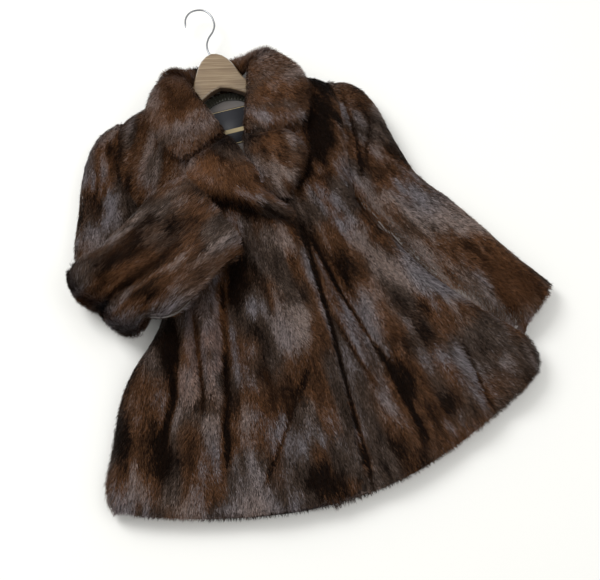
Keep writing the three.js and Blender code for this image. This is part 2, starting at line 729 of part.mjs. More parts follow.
function elbowSections() {
  const sections = [];
  for (let i = 0; i <= RIGHT_SLEEVE_GRID.turn; i++) {
    const turned = i / RIGHT_SLEEVE_GRID.turn;
    const angle = Math.PI * (turned - 0.5);
    const outward = new THREE.Vector3(0, 0, Math.sin(angle));
    outward.addScaledVector(ELBOW_OUTWARD, Math.cos(angle));
    sections.push({
      halfWidth: ELBOW.halfWidth,
      squareness: SLEEVE_SQUARENESS,
      up: THREE.MathUtils.lerp(UPPER_ARM.half, FOREARM.half, turned),
      down: ELBOW.turn - ELBOW.clear,
      dent: (across) => grooveDepth(across, smooth(0, 0.6, turned)),
      at: (across, height) => {
        const p = RIGHT_UPPER_ARM.elbow.getPointAt((1 + across) / 2).setZ(ELBOW_AXIS);
        p.addScaledVector(outward, ELBOW.turn + height);
        return p.setZ(Math.max(p.z, 0));
      },
    });
  }
  return sections;
}

function forearmSections() {
  const sections = [];
  const outline = {
    top: RIGHT_FOREARM.elbow,
    hem: RIGHT_FOREARM.cuff,
    side: RIGHT_FOREARM.outer,
    edge: RIGHT_FOREARM.inner,
  };
  for (let i = 1; i <= RIGHT_SLEEVE_GRID.forearm; i++) {
    const v = i / RIGHT_SLEEVE_GRID.forearm;
    const shallower = (1 - 0.45 * smooth(0, 0.35, v)) * (1 - 0.7 * smooth(0.5, 1, v));
    const middle = ELBOW_AXIS + ELBOW.turn + FOREARM.climb * smooth(0.1, 0.5, v);
    sections.push(
      sleeveSection(outline, v, {
        up: FOREARM.half * (1 - FOREARM.cuffFlatter * smooth(0.85, 1, v)),
        down: THREE.MathUtils.lerp(ELBOW.turn - ELBOW.clear, FOREARM.down, smooth(0, 0.3, v)),
        dent: (across) => grooveDepth(across, shallower),
        at: (across, height) => {
          const p = panelPoint(outline, (1 + across) / 2, v);
          return p.setZ(middle + height);
        },
      }),
    );
  }
  return sections;
}

const rightSleeve = [...upperArmSections(), ...elbowSections(), ...forearmSections()];
addPiece("sleeve_right_outer", sleeveWall(rightSleeve, RIGHT_SLEEVE_GRID.across, true), FUR);
addPiece("sleeve_right_inner", sleeveWall(rightSleeve, RIGHT_SLEEVE_GRID.across, false), FUR);

// The collar is a doubled band of fur. It lies on the fronts, and goes down behind the neck to the surface.
const COLLAR_THICK = 19;
const COLLAR_SECTIONS = [
  { xi: -60, yi: 190, zi: 61.4, xo: -140, yo: 153, zo: 61.4 },
  { xi: -63, yi: 198, zi: 61.4, xo: -164, yo: 166, zo: 61 },
  { xi: -67, yi: 209, zi: 61.4, xo: -178, yo: 193, zo: 60.6 },
  { xi: -72, yi: 226, zi: 61.4, xo: -186, yo: 228, zo: 60.6 },
  { xi: -80, yi: 251, zi: 61.4, xo: -190, yo: 260, zo: 60.6 },
  { xi: -88, yi: 277, zi: 60.6, xo: -184, yo: 287, zo: 60.6 },
  { xi: -95, yi: 300, zi: 58.6, xo: -165, yo: 312, zo: 60 },
  { xi: -101, yi: 320, zi: 52, xo: -147, yo: 335, zo: 53 },
  { xi: -103, yi: 331, zi: 36, xo: -130, yo: 353, zo: 34 },
  { xi: -100, yi: 334, zi: 18, xo: -112, yo: 366, zo: 13 },
  { xi: -88, yi: 334, zi: 3, xo: -90, yo: 373, zo: 2 },
  { xi: -60, yi: 333, zi: 0.6, xo: -62, yo: 373, zo: 0.4 },
  { xi: -38, yi: 333, zi: 0.6, xo: -36, yo: 373, zo: 0.4 },
  { xi: -16, yi: 333, zi: 0.6, xo: -8, yo: 374, zo: 0.4 },
  { xi: 8, yi: 334, zi: 3, xo: 22, yo: 372, zo: 2 },
  { xi: 19, yi: 334, zi: 18, xo: 43, yo: 366, zo: 13 },
  { xi: 21, yi: 331, zi: 34, xo: 61, yo: 353, zo: 34 },
  { xi: 17, yi: 322, zi: 50, xo: 78, yo: 334, zo: 52 },
  { xi: 8, yi: 304, zi: 54.6, xo: 96, yo: 310, zo: 55.8 },
  { xi: -1, yi: 276, zi: 55.8, xo: 110, yo: 284, zo: 55.8 },
  { xi: -10, yi: 248, zi: 55.8, xo: 112, yo: 252, zo: 55.8 },
  { xi: -19, yi: 220, zi: 55.8, xo: 105, yo: 220, zo: 55.8 },
  { xi: -27, yi: 198, zi: 55.8, xo: 94, yo: 194, zo: 55.8 },
  { xi: -33, yi: 180, zi: 55.8, xo: 80, yo: 172, zo: 55.8 },
];
const COLLAR_RING = 14; // points round each section
const COLLAR_SQUARENESS = 0.6; // 1 would make a section an oval, 0 a box

function collarBand() {
  const inner = COLLAR_SECTIONS.map((s) => new THREE.Vector3(s.xi, s.yi, s.zi));
  const outer = COLLAR_SECTIONS.map((s) => new THREE.Vector3(s.xo, s.yo, s.zo));
  const middle = inner.map((p, i) => p.clone().add(outer[i]).multiplyScalar(0.5));
  const rings = inner.map((p, i) => {
    const across = outer[i].clone().sub(p);
    const [before, after] = [middle[Math.max(i - 1, 0)], middle[Math.min(i + 1, middle.length - 1)]];
    const up = new THREE.Vector3().crossVectors(after.clone().sub(before), across).normalize();
    if (up.z < 0) up.negate();
    const ring = [];
    for (let k = 0; k < COLLAR_RING; k++) {
      const angle = (2 * Math.PI * (k + 0.5)) / COLLAR_RING;
      const [c, s] = [Math.cos(angle), Math.sin(angle)];
      const side = Math.sign(c) * Math.abs(c) ** COLLAR_SQUARENESS;
      const rise = Math.sign(s) * Math.abs(s) ** COLLAR_SQUARENESS;
      const point = p.clone().addScaledVector(across, (1 - side) / 2);
      ring.push(point.addScaledVector(up, (COLLAR_THICK * (1 + rise)) / 2));
    }
    return ring;
  });
  return throughRings(rings);
}

addPiece("collar", collarBand(), FUR);

// A lapel is a doubled leaf of fur with a flat underside, rounded towards its edges.
const LAPEL = { thick: 19, rim: 5, round: 20 };
const LAPEL_GRID = { across: 9, along: 11 };
const RIGHT_LAPEL = {
  base: 60.4,
  aside: 0,
  top: planCurve([[-59, 188], [-92, 172.5], [-126, 156]]),
  side: planCurve([[-59, 188], [-47, 162], [-39, 128], [-30, 102], [-33, 71], [-22, 46], [-6, 26], [9, -4]]),
  edge: planCurve([
    [-126, 156],
    [-142, 147],
    [-147, 133],
    [-144, 112],
    [-136, 90],
    [-116, 69],
    [-89, 51],
    [-70, 37],
    [-45, 15],
    [-22, -6],
    [-4, -20],
  ]),
  hem: planCurve([[9, -4], [6, -16], [-4, -20]]),
};
const LEFT_LAPEL = {
  base: 55.6,
  aside: 0.6, // so much to the side, clear of the right front
  top: planCurve([[-33.4, 178.4], [0, 176], [42, 172]]),
  side: planCurve([[-33.4, 178.4], [-35, 132], [-29, 102], [-32, 72], [-21, 48]]),
  edge: planCurve([[42, 172], [60, 148], [65, 122], [58, 98], [45, 78], [31, 60], [14, 42]]),
  hem: planCurve([[-21, 48], [-8, 36], [14, 42]]),
};

function lapelLeaf(outline) {
  const top = [];
  const bottom = [];
  for (let i = 0; i <= LAPEL_GRID.along; i++) {
    top.push([]);
    bottom.push([]);
    const v = i / LAPEL_GRID.along;
    for (let j = 0; j <= LAPEL_GRID.across; j++) {
      const u = j / LAPEL_GRID.across;
      const p = panelPoint(outline, u, v);
      const x = p.x + outline.aside;
      const edges = [
        [u, 0],
        [u, 1],
        [0, v],
        [1, v],
      ];
      const nearest = Math.min(...edges.map(([a, b]) => p.distanceTo(panelPoint(outline, a, b))));
      const rise = LAPEL.rim + (LAPEL.thick - LAPEL.rim) * roll(nearest, LAPEL.round);
      top[i].push(new THREE.Vector3(x, p.y, outline.base + rise));
      bottom[i].push(new THREE.Vector3(x, p.y, outline.base));
    }
  }
  return wallBetween(top, bottom);
}

addPiece("lapel_right", lapelLeaf(RIGHT_LAPEL), FUR);
addPiece("lapel_left", lapelLeaf(LEFT_LAPEL), FUR);

// What shows inside the neck: the lining on the back, a gathered trim along the neck seam, and a blank label
const LINING = { thick: 1.6, left: -90, right: 14, top: 305, bottom: 110 };
const LINING_TOP = FLOOR_FUR + LINING.thick;
const NECK_TRIM = { thick: 2.6, half: 8, pleats: 24, depth: 0.8 };
const NECK_TRIM_LINE = planCurve([[-86, 280], [-66, 294], [-40, 300], [-14, 295], [8, 281]]);
const NECK_LABEL = { thick: 0.9, wide: 72, tall: 80, x: -40, y: 232 };

function flatBox(width, depth, height, x, y, z) {
  return new THREE.BoxGeometry(width, depth, height).translate(x, y, z + height / 2);
}

function neckTrim() {
  const pleated = [];
  const flat = [];
  const z = LINING_TOP + SEAM;
  for (const side of [-1, 0, 1]) {
    const row = [];
    for (let j = 0; j <= NECK_TRIM.pleats; j++) {
      const p = NECK_TRIM_LINE.getPointAt(j / NECK_TRIM.pleats);
      const d = NECK_TRIM_LINE.getTangentAt(j / NECK_TRIM.pleats);
      const offset = side * NECK_TRIM.half;
      row.push(new THREE.Vector3(p.x - d.y * offset, p.y + d.x * offset, z));
    }
    flat.push(row);
    pleated.push(row.map((p, j) => p.clone().setZ(z + NECK_TRIM.thick - (j % 2) * NECK_TRIM.depth)));
  }
  return wallBetween(pleated, flat);
}

addPiece(
  "lining_back",
  flatBox(
    LINING.right - LINING.left,
    LINING.top - LINING.bottom,
    LINING.thick,
    (LINING.left + LINING.right) / 2,
    (LINING.top + LINING.bottom) / 2,
    FLOOR_FUR,
  ),
  LINING_CLOTH,
);
addPiece("neck_trim", neckTrim(), TRIM);
addPiece(
  "label",
  flatBox(NECK_LABEL.wide, NECK_LABEL.tall, NECK_LABEL.thick, NECK_LABEL.x, NECK_LABEL.y, LINING_TOP + SEAM),
  LABEL,
);

// The wooden hanger, its two arms in the shoulders and a dome at the neck for the hook
const HANGER_UPPER = [
  [-206, 259],
  [-160, 274],
  [-122, 283],
  [-101, 300],
  [-90, 324],
  [-78, 350],
  [-62, 375],
  [-40, 388],
  [-20, 379],
  [-6, 356],
  [2, 328],
  [13, 304.5],
  [36, 285],
  [68, 271],
  [112, 252],
];
const HANGER_LOWER = [
  [112, 221],
  [70, 236],
  [28, 258],
  [-6, 286],
  [-42, 306],
  [-80, 288],
  [-114, 262],
  [-156, 241],
  [-206, 226],
];

const HANGER_STEPS = { upper: 28, lower: 16 };

function hangerBody() {
  const shape = new THREE.Shape();
  const upper = planCurve(HANGER_UPPER).getPoints(HANGER_STEPS.upper);
  const lower = planCurve(HANGER_LOWER).getPoints(HANGER_STEPS.lower);
  shape.moveTo(upper[0].x, upper[0].y);
  for (const p of [...upper.slice(1), ...lower]) shape.lineTo(p.x, p.y);
  const geometry = new THREE.ExtrudeGeometry(shape, {
    depth: HANGER.thick - 2 * HANGER.bevel,
    bevelThickness: HANGER.bevel,
    bevelSize: HANGER.bevel,
    bevelOffset: -HANGER.bevel,
    bevelSegments: 1,
  });
  return geometry.translate(0, 0, HANGER.low + HANGER.bevel);
}

addPiece("hanger", hangerBody(), WOOD);

const HOOK_LINE = [
  [-41, 388.5],
  [-43, 401],
  [-41, 416],
  [-34, 430],
  [-22, 444],
  [-15, 460],
  [-16, 482],
  [-25, 498],
  [-40, 504],
  [-55, 501],
  [-66, 488],
  [-71, 468],
];
const HOOK_GRID = { along: 26, around: 7 };

function hookWire() {
  const curve = planCurve(HOOK_LINE);
  const rings = [];
  for (let i = 0; i <= HOOK_GRID.along; i++) {
    const p = curve.getPointAt(i / HOOK_GRID.along);
    const d = curve.getTangentAt(i / HOOK_GRID.along);
    const ring = [];
    for (let j = 0; j < HOOK_GRID.around; j++) {
      const angle = (2 * Math.PI * j) / HOOK_GRID.around;
      const sideways = (WIRE / 2) * Math.cos(angle);
      const z = HANGER.low + HANGER.thick / 2 + (WIRE / 2) * Math.sin(angle);
      ring.push(new THREE.Vector3(p.x - d.y * sideways, p.y + d.x * sideways, z));
    }
    rings.push(ring);
  }
  return throughRings(rings);
}

addPiece("hook", hookWire(), CHROME);

// The origin is the centre of the underside of the whole.
const extent = new THREE.Box3().setFromObject(coat);
const shift = extent.getCenter(new THREE.Vector3()).setZ(extent.min.z).negate();
for (const mesh of coat.children) mesh.geometry.translate(shift.x, shift.y, shift.z);

export default coat;
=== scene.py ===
import math

import bmesh
import bpy
import numpy as np
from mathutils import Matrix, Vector
from mathutils.bvhtree import BVHTree


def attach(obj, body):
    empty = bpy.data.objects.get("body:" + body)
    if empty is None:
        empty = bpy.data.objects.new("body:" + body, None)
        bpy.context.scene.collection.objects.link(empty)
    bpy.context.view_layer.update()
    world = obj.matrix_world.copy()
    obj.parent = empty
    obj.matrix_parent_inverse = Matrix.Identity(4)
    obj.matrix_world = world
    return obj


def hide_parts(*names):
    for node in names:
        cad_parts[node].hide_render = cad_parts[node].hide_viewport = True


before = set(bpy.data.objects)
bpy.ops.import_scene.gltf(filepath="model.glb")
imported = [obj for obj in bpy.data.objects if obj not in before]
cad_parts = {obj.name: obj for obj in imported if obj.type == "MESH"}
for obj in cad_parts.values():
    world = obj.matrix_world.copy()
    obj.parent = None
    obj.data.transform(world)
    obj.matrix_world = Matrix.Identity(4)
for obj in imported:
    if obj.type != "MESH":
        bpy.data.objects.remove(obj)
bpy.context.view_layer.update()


# The camera: it stands beyond the hem, a little to the coat's right, and looks down at a slant. The
# photograph was taken in the same way. Its lens sees 35 degrees across.
MM = 0.001
root = bpy.context.scene.collection
AIM = Vector((-9.5, -125, 0)) * MM
AZIMUTH, ELEVATION = math.radians(-16.5), math.radians(65)
DISTANCE, LENS_ANGLE = 1.65, math.radians(35)
level = math.cos(ELEVATION)
view_from = Vector((level * math.sin(AZIMUTH), -level * math.cos(AZIMUTH), math.sin(ELEVATION)))
lens = bpy.data.cameras.new("camera")
lens.sensor_fit = "HORIZONTAL"
lens.angle = LENS_ANGLE
camera = bpy.data.objects.new("camera", lens)
camera.location = AIM + view_from * DISTANCE
camera.rotation_euler = view_from.to_track_quat("Z", "Y").to_euler()
root.objects.link(camera)
bpy.context.scene.camera = camera


# The surface it lies on and the light: a plain white table, matt and a little warm, in soft daylight. The
# bright lamp is a large window above and to the left of the neck. The weaker one fills the shadows from
# the right.
CORNERS = [(-1, -1), (1, -1), (1, 1), (-1, 1)]
TABLE_HALF, TABLE_TOP = 6, -0.0006
LAMPS = [  # name, place, size across, power in watts
    ("window", (-1.4, 1.5, 2.4), 1.6, 62),
    ("fill", (1.8, -1.2, 2.2), 1.8, 14),
]


def set_inputs(node, values):
    """Give the inputs of a shader node their values, by name."""
    for key, value in values.items():
        node.inputs[key].default_value = value


def main_shader(material):
    """The node that gives a material its surface."""
    return material.node_tree.nodes["Principled BSDF"]


def surface_material(name, colour, roughness, more=None):
    """A new material with its colour, its roughness and what else its main shader needs."""
    m = bpy.data.materials.new(name)
    m.use_nodes = True
    set_inputs(main_shader(m), {"Base Color": (*colour, 1), "Roughness": roughness, **(more or {})})
    return m


def add_mesh(name, points, faces, material):
    """A new mesh object in the scene, with one material."""
    mesh = bpy.data.meshes.new(name)
    mesh.from_pydata([tuple(p) for p in points], [], [tuple(f) for f in faces])
    mesh.materials.append(material)
    o = bpy.data.objects.new(name, mesh)
    root.objects.link(o)
    return o


table_paint = surface_material("studio_table", (0.87, 0.872, 0.845), 0.9, {"Specular IOR Level": 0.1})
table_points = [(x * TABLE_HALF, y * TABLE_HALF, TABLE_TOP) for x, y in CORNERS]
table = add_mesh("studio_table", table_points, [(0, 1, 2, 3)], table_paint)

world = bpy.data.worlds.new("studio")
world.use_nodes = True
set_inputs(world.node_tree.nodes["Background"], {"Color": (1.0, 0.99, 0.975, 1), "Strength": 0.72})
bpy.context.scene.world = world
bpy.context.scene.view_settings.view_transform = "Standard"

for name, place, size, power in LAMPS:
    lamp = bpy.data.lights.new(name, "AREA")
    lamp.shape = "SQUARE"
    lamp.size = size
    lamp.energy = power
    o = bpy.data.objects.new(name, lamp)
    o.location = place
    o.rotation_euler = (Vector(place) - AIM).to_track_quat("Z", "Y").to_euler()
    root.objects.link(o)


# The hanger: hard brown wood, shaped to a dome for the hook and two arms that lie in the coat's
# shoulders. It is lacquered, and its sides are given a dark brown as painted shade.
WELD = 1e-6  # points nearer to each other than this are one
FLAT_ANGLE, SHARP_ANGLE = math.radians(1), 0.5
HANGER_ROUNDING = 0.0012
SHADED_SIDE_SLOPE = 0.25  # a face whose normal rises less than this is on the hanger's side and gets the painted shade
GRAIN_TURN, GRAIN_SIZE = math.radians(-14), (0.09, 0.0016, 0.016)
GRAIN_TONES = [(0.3, (0.11, 0.063, 0.031)), (0.5, (0.2, 0.136, 0.075)), (0.68, (0.31, 0.235, 0.143))]


def smooth_copy(node, name, bevel, material):
    """A copy of a CAD node, with its sharp edges rounded when bevel is not zero, which takes the node's
    place.
    """
    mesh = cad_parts[node].data.copy()
    bm = bmesh.new()
    bm.from_mesh(mesh)
    bmesh.ops.remove_doubles(bm, verts=bm.verts, dist=WELD)
    bmesh.ops.dissolve_limit(bm, angle_limit=FLAT_ANGLE, verts=bm.verts, edges=bm.edges)
    sharp = [e for e in bm.edges if len(e.link_faces) == 2 and e.calc_face_angle() > SHARP_ANGLE]
    if bevel:
        bmesh.ops.bevel(bm, geom=sharp, offset=bevel, segments=2, profile=0.7, affect="EDGES")
    for f in bm.faces:
        f.smooth = True
    bm.to_mesh(mesh)
    bm.free()
    mesh.materials.clear()
    mesh.materials.append(material)
    o = bpy.data.objects.new(name, mesh)
    root.objects.link(o)
    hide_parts(node)
    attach(o, "root")
    return o


def add_node(material, kind, **values):
    """A new shader node with its inputs and properties set."""
    n = material.node_tree.nodes.new(kind)
    for key, value in values.items():
        if hasattr(n, key) and key not in n.inputs:
            setattr(n, key, value)
        else:
            n.inputs[key].default_value = value
    return n


def colour_ramp(material, stops):
    """A shader node that turns 0 to 1 into colours. stops has rows of a place and its colour."""
    ramp = add_node(material, "ShaderNodeValToRGB")
    while len(ramp.color_ramp.elements) < len(stops):
        ramp.color_ramp.elements.new(0.5)
    for e, (at, colour) in zip(ramp.color_ramp.elements, stops):
        e.position = at
        e.color = (*colour, 1)
    return ramp


def join(material, *links):
    """Join shader nodes. Each link is a node, its output, the node that it leads to and the input there."""
    for node, output, into, socket in links:
        material.node_tree.links.new(node.outputs[output], into.inputs[socket])


lacquer = {"Coat Weight": 0.6, "Coat Roughness": 0.12}
hanger_wood = surface_material("hanger_wood", (0.3, 0.17, 0.08), 0.3, lacquer)
coordinates = add_node(hanger_wood, "ShaderNodeTexCoord")
grain_space = add_node(
    hanger_wood,
    "ShaderNodeMapping",
    vector_type="TEXTURE",
    Rotation=(0, 0, GRAIN_TURN),
    Scale=GRAIN_SIZE,
)
grain = add_node(hanger_wood, "ShaderNodeTexNoise", Scale=1.0, Detail=7.0, Distortion=0.9)
grain_colours = colour_ramp(hanger_wood, GRAIN_TONES)
join(
    hanger_wood,
    (coordinates, "Object", grain_space, "Vector"),
    (grain_space, "Vector", grain, "Vector"),
    (grain, "Fac", grain_colours, "Fac"),
    (grain_colours, "Color", main_shader(hanger_wood), "Base Color"),
)
hanger = smooth_copy("hanger", "hanger_wood", HANGER_ROUNDING, hanger_wood)
# A second, dark material on the hanger's sides, which face away from the light: painted shade.
hanger.data.materials.append(surface_material("hanger_shaded_side", (0.07, 0.04, 0.022), 0.35))
for f in hanger.data.polygons:
    f.material_index = int(f.normal.z < SHADED_SIDE_SLOPE)


# The hook: steel wire of 3.6 mm with bright chrome. It is screwed into the top of the hanger's dome and
# bent round to a rounded end.
HOOK_ROUTE = [
    (-37.5, 385.6),
    (-39.5, 398),
    (-37.5, 413),
    (-30.5, 427),
    (-18.5, 441),
    (-11.5, 457),
    (-12.5, 479),
    (-21.5, 495),
    (-36.5, 501),
    (-51.5, 498),
    (-62.5, 485),
    (-67.5, 465),
]
HOOK_HEIGHT, HOOK_RADIUS, HOOK_END = 31, 1.8, (1.6, 1.2, 0.5)
HOOK_RINGS, HOOK_SIDES = 90, 14


def line_through(points, count, fine_steps=24):
    """count points at even steps along a smooth curve through a few given ones."""
    p = np.array(points, float)
    ends = np.vstack([2 * p[0] - p[1], p, 2 * p[-1] - p[-2]])
    t = np.linspace(0, 1, fine_steps, endpoint=False)[:, None]
    fine = []
    for i in range(len(p) - 1):
        a, b, c, d = ends[i : i + 4]
        bend = (2 * a - 5 * b + 4 * c - d) * t**2 + (3 * b - a - 3 * c + d) * t**3
        fine.append(0.5 * (2 * b + (c - a) * t + bend))
    fine = np.vstack([*fine, p[-1:]])
    run = np.concatenate([[0], np.cumsum(np.linalg.norm(np.diff(fine, axis=0), axis=1))])
    at = np.linspace(0, run[-1], count)
    return np.column_stack([np.interp(at, run, fine[:, k]) for k in range(p.shape[1])])


def unit(rows):
    """Rows of directions, each brought to a length of 1."""
    return rows / np.linalg.norm(rows, axis=1)[:, None]


def wire_mesh(name, line, radii, around, material):
    """A round bar along a line that bends in the plane only, closed at both ends."""
    up = np.array([0, 0, 1])
    side = np.cross(up, unit(np.gradient(line, axis=0)))[:, None]
    turn = np.linspace(0, 2 * np.pi, around, endpoint=False)[None, :, None]
    reach = radii[:, None, None]
    rings = line[:, None] + reach * np.cos(turn) * side + reach * np.sin(turn) * up
    points = rings.reshape(-1, 3)
    faces = []
    for i in range(len(line) - 1):
        for j in range(around):
            a, b = i * around + j, i * around + (j + 1) % around
            faces.append((a, b, b + around, a + around))
    faces.append(tuple(range(around))[::-1])
    faces.append(tuple(range(len(points) - around, len(points))))
    return add_mesh(name, points, faces, material)


chrome = surface_material("hook_chrome", (0.3, 0.31, 0.33), 0.22, {"Metallic": 1})
hook_line = np.column_stack([line_through(HOOK_ROUTE, HOOK_RINGS), np.full(HOOK_RINGS, HOOK_HEIGHT)])
hook_radii = np.full(HOOK_RINGS, HOOK_RADIUS)
hook_radii[-len(HOOK_END) :] = HOOK_END
hook = wire_mesh("hook_wire", hook_line * MM, hook_radii * MM, HOOK_SIDES, chrome)
hook.data.shade_smooth()
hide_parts("hook")
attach(hook, "root")


# The pelts: mink skins, let out into long stripes, sewn side by side into panels and lined with satin. A
# pelt here is the skin with its lining, made from the solid of the same name and set in under the fur. A
# second mesh of combed hair stands on it and fills the depth of the solid again.
MIXERS = (374761393, 668265263, 2147483647, 974634777, 1274126177)  # odd numbers that scramble a place
LOW_32_BITS, LOW_16_BITS = 0xFFFFFFFF, 0xFFFF
FIRST_SHIFT, LAST_SHIFT = 13, 16
SEED_STEP = 17.31  # how far apart the noise of two seeds is read


def soft_noise(points, scale, seed):
    """Smooth noise from 0 to 1 at each point, with lumps about scale apart on each axis."""
    q = points / np.asarray(scale) + seed * SEED_STEP
    cell = np.floor(q).astype(np.int64)
    t = q - cell
    t = t * t * (3 - 2 * t)
    total = 0
    for corner in np.ndindex(2, 2, 2):
        x, y, z = (cell + corner).T
        h = x * MIXERS[0] + y * MIXERS[1]
        h = (h + z * MIXERS[2] + seed * MIXERS[3]) & LOW_32_BITS
        h = ((h ^ (h >> FIRST_SHIFT)) * MIXERS[4]) & LOW_32_BITS
        value = ((h ^ (h >> LAST_SHIFT)) & LOW_16_BITS) / LOW_16_BITS
        share = np.where(corner, t, 1 - t)
        total = total + share[:, 0] * share[:, 1] * share[:, 2] * value
    return total


def step(low, high, x):
    """0 below low, 1 above high, and a smooth rise between them."""
    t = np.clip((x - low) / (high - low), 0, 1)
    return t * t * (3 - 2 * t)


def mix(first, second, share):
    """The first where share is 0, the second where it is 1, and both in proportion between."""
    return first * (1 - share) + second * share


def values_of(items, key, width=3):
    """One property of all the points or faces of a mesh, a row for each."""
    flat = np.zeros(len(items) * width)
    items.foreach_get(key, flat)
    return flat.reshape(-1, width)


all_points, all_faces, face_owner = [], [], []
for name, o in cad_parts.items():
    start = len(all_points)
    all_points += [o.matrix_world @ v.co for v in o.data.vertices]
    all_faces += [[start + i for i in f.vertices] for f in o.data.polygons]
    face_owner += [name] * len(o.data.polygons)
everything = BVHTree.FromPolygons(all_points, all_faces)

skin = surface_material("fur_skin", (0.016, 0.009, 0.007), 0.75, {"Specular IOR Level": 0.15})
coordinates = add_node(skin, "ShaderNodeTexCoord")
nap_space = add_node(skin, "ShaderNodeMapping", Scale=(900, 140, 300))
nap = add_node(skin, "ShaderNodeTexNoise", Scale=1.0, Detail=4.0)
nap_bump = add_node(skin, "ShaderNodeBump", Strength=0.6, Distance=0.0015)
skin_tint = add_node(skin, "ShaderNodeAttribute", attribute_name="hair_colour")
join(
    skin,
    (skin_tint, "Color", main_shader(skin), "Base Color"),
    (coordinates, "Object", nap_space, "Vector"),
    (nap_space, "Vector", nap, "Vector"),
    (nap, "Fac", nap_bump, "Height"),
    (nap_bump, "Normal", main_shader(skin), "Normal"),
)

satin = surface_material("lining_satin", (0.15, 0.131, 0.12), 0.36, {"Sheen Weight": 0.3})
coordinates = add_node(satin, "ShaderNodeTexCoord")
weave = add_node(satin, "ShaderNodeTexWave", Scale=900.0, Distortion=2.0)
weave_bump = add_node(satin, "ShaderNodeBump", Strength=0.15, Distance=0.0004)
join(
    satin,
    (coordinates, "Object", weave, "Vector"),
    (weave, "Fac", weave_bump, "Height"),
    (weave_bump, "Normal", main_shader(satin), "Normal"),
)

QUAD_BEND, QUAD_SKEW = math.radians(50), math.radians(60)  # the most that one face may be bent or skewed
CREASE_ANGLE = 0.4  # a sharper edge than this stays sharp beside another piece
TOUCH_START, TOUCH_REACH = 0.003, 0.0085  # from 3 mm inside a surface to 5.5 mm outside it


def near_another(others, place, outward):
    """Whether another piece lies close outside this place on a surface."""
    return others.ray_cast(place - outward * TOUCH_START, outward, TOUCH_REACH)[2] is not None


def quads_of(node, others):
    """The node's mesh with its four-sided faces put back, and kept sharp where it meets another piece."""
    bm = bmesh.new()
    bm.from_mesh(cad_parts[node].data)
    bmesh.ops.remove_doubles(bm, verts=bm.verts, dist=WELD)
    bmesh.ops.join_triangles(
        bm, faces=bm.faces, angle_face_threshold=QUAD_BEND, angle_shape_threshold=QUAD_SKEW
    )
    crease = bm.edges.layers.float.new("crease_edge")
    for f in bm.faces:
        if near_another(others, f.calc_center_median(), f.normal):
            for e in f.edges:
                if e.calc_face_angle(0) > CREASE_ANGLE:
                    e[crease] = 1
    mesh = bpy.data.meshes.new(node)
    bm.to_mesh(mesh)
    bm.free()
    return mesh


def rounded_mesh(node, others, levels):
    """The node's mesh, divided and rounded. All its faces have four sides."""
    cage = bpy.data.objects.new(node, quads_of(node, others))
    root.objects.link(cage)
    rounding = cage.modifiers.new("rounding", "SUBSURF")
    rounding.levels = rounding.render_levels = levels
    seen = cage.evaluated_get(bpy.context.evaluated_depsgraph_get())
    mesh = bpy.data.meshes.new_from_object(seen)
    bpy.data.objects.remove(cage)
    return mesh


LOOK_START, LOOK_REACH = 0.0015, 0.08  # from just off a face to across the widest hollow
SLANTS, SLANT_REACH = [(1, 0, 1), (-1, 0, 1), (0, 1, 1), (0, -1, 1)], 0.1
LEVEL_ENOUGH = 0.5  # the lining lies on walls that slope by less than 60 degrees
LINING_ROOM = 0.003  # less room than this in front of the inner side, and nothing of it shows
SKY_START, SKY_REACH = 0.004, 0.06  # clear of the solid, as the rounded skin lies a little inside it
SKY_RINGS = [(0.35, 3), (0.75, 5)]  # how far a ring of directions leans out, and how many it has
SKY_WAYS = [
    (math.cos(a) * lean, math.sin(a) * lean, math.sqrt(1 - lean * lean))
    for lean, count in SKY_RINGS
    for a in np.linspace(0, 2 * math.pi, count, endpoint=False)
] + [(0, 0, 1)]
DOWNWARD = -0.02  # a direction that falls more than this can meet the table


def surroundings(mesh, others, inner_sees):
    """For each face: whether it shows lining, whether it touches another piece, and how open it is."""
    centres, normals = values_of(mesh.polygons, "center"), values_of(mesh.polygons, "normal")
    lined, touching = np.zeros((2, len(centres)), bool)
    open_sky = np.zeros(len(centres))
    for i, (centre, normal) in enumerate(zip(centres, normals)):
        c, n = Vector(centre), Vector(normal)
        basis = n.to_track_quat("Z", "Y").to_matrix()
        start = c + n * LOOK_START
        _, _, index, room = everything.ray_cast(start, n, LOOK_REACH)
        if index is not None and abs(n.z) > LEVEL_ENOUGH and face_owner[index] in inner_sees:
            slants = [basis @ Vector(d) for d in SLANTS]
            enclosed = all(everything.ray_cast(start, d, SLANT_REACH)[2] is not None for d in slants)
            lined[i] = room > LINING_ROOM and enclosed
            continue
        touching[i] = near_another(others, c, n)
        start = c + n * SKY_START
        for d in SKY_WAYS:
            ray = basis @ Vector(d)
            meets_table = ray.z < DOWNWARD and start.z / -ray.z < SKY_REACH
            if not meets_table and everything.ray_cast(start, ray, SKY_REACH)[2] is None:
                open_sky[i] += 1 / len(SKY_WAYS)
    return lined, touching, open_sky


def at_points(mesh, on_faces):
    """What is true or false on the faces, as a share of the faces round each point."""
    share, uses = np.zeros((2, len(mesh.vertices)))
    for f, value in zip(mesh.polygons, on_faces):
        corners = list(f.vertices)
        share[corners] += value
        uses[corners] += 1
    return share / np.maximum(uses, 1)


PILE, LINING_DEPTH = 0.0036, 0.0008  # how far the skin and the lining lie inside the solid's surface
SEAM_FADE = 2.5  # how fast the skin comes up to the solid's surface towards a seam
CREASE_START, CREASE_END = 0.25, 0.7  # a crease deepens up to the one and fades from the other
LINING_SLACK = 0.003  # the lining follows only what a crease sinks beyond this
TABLE_GAP = 0.0002  # nothing of the skin comes nearer to the table


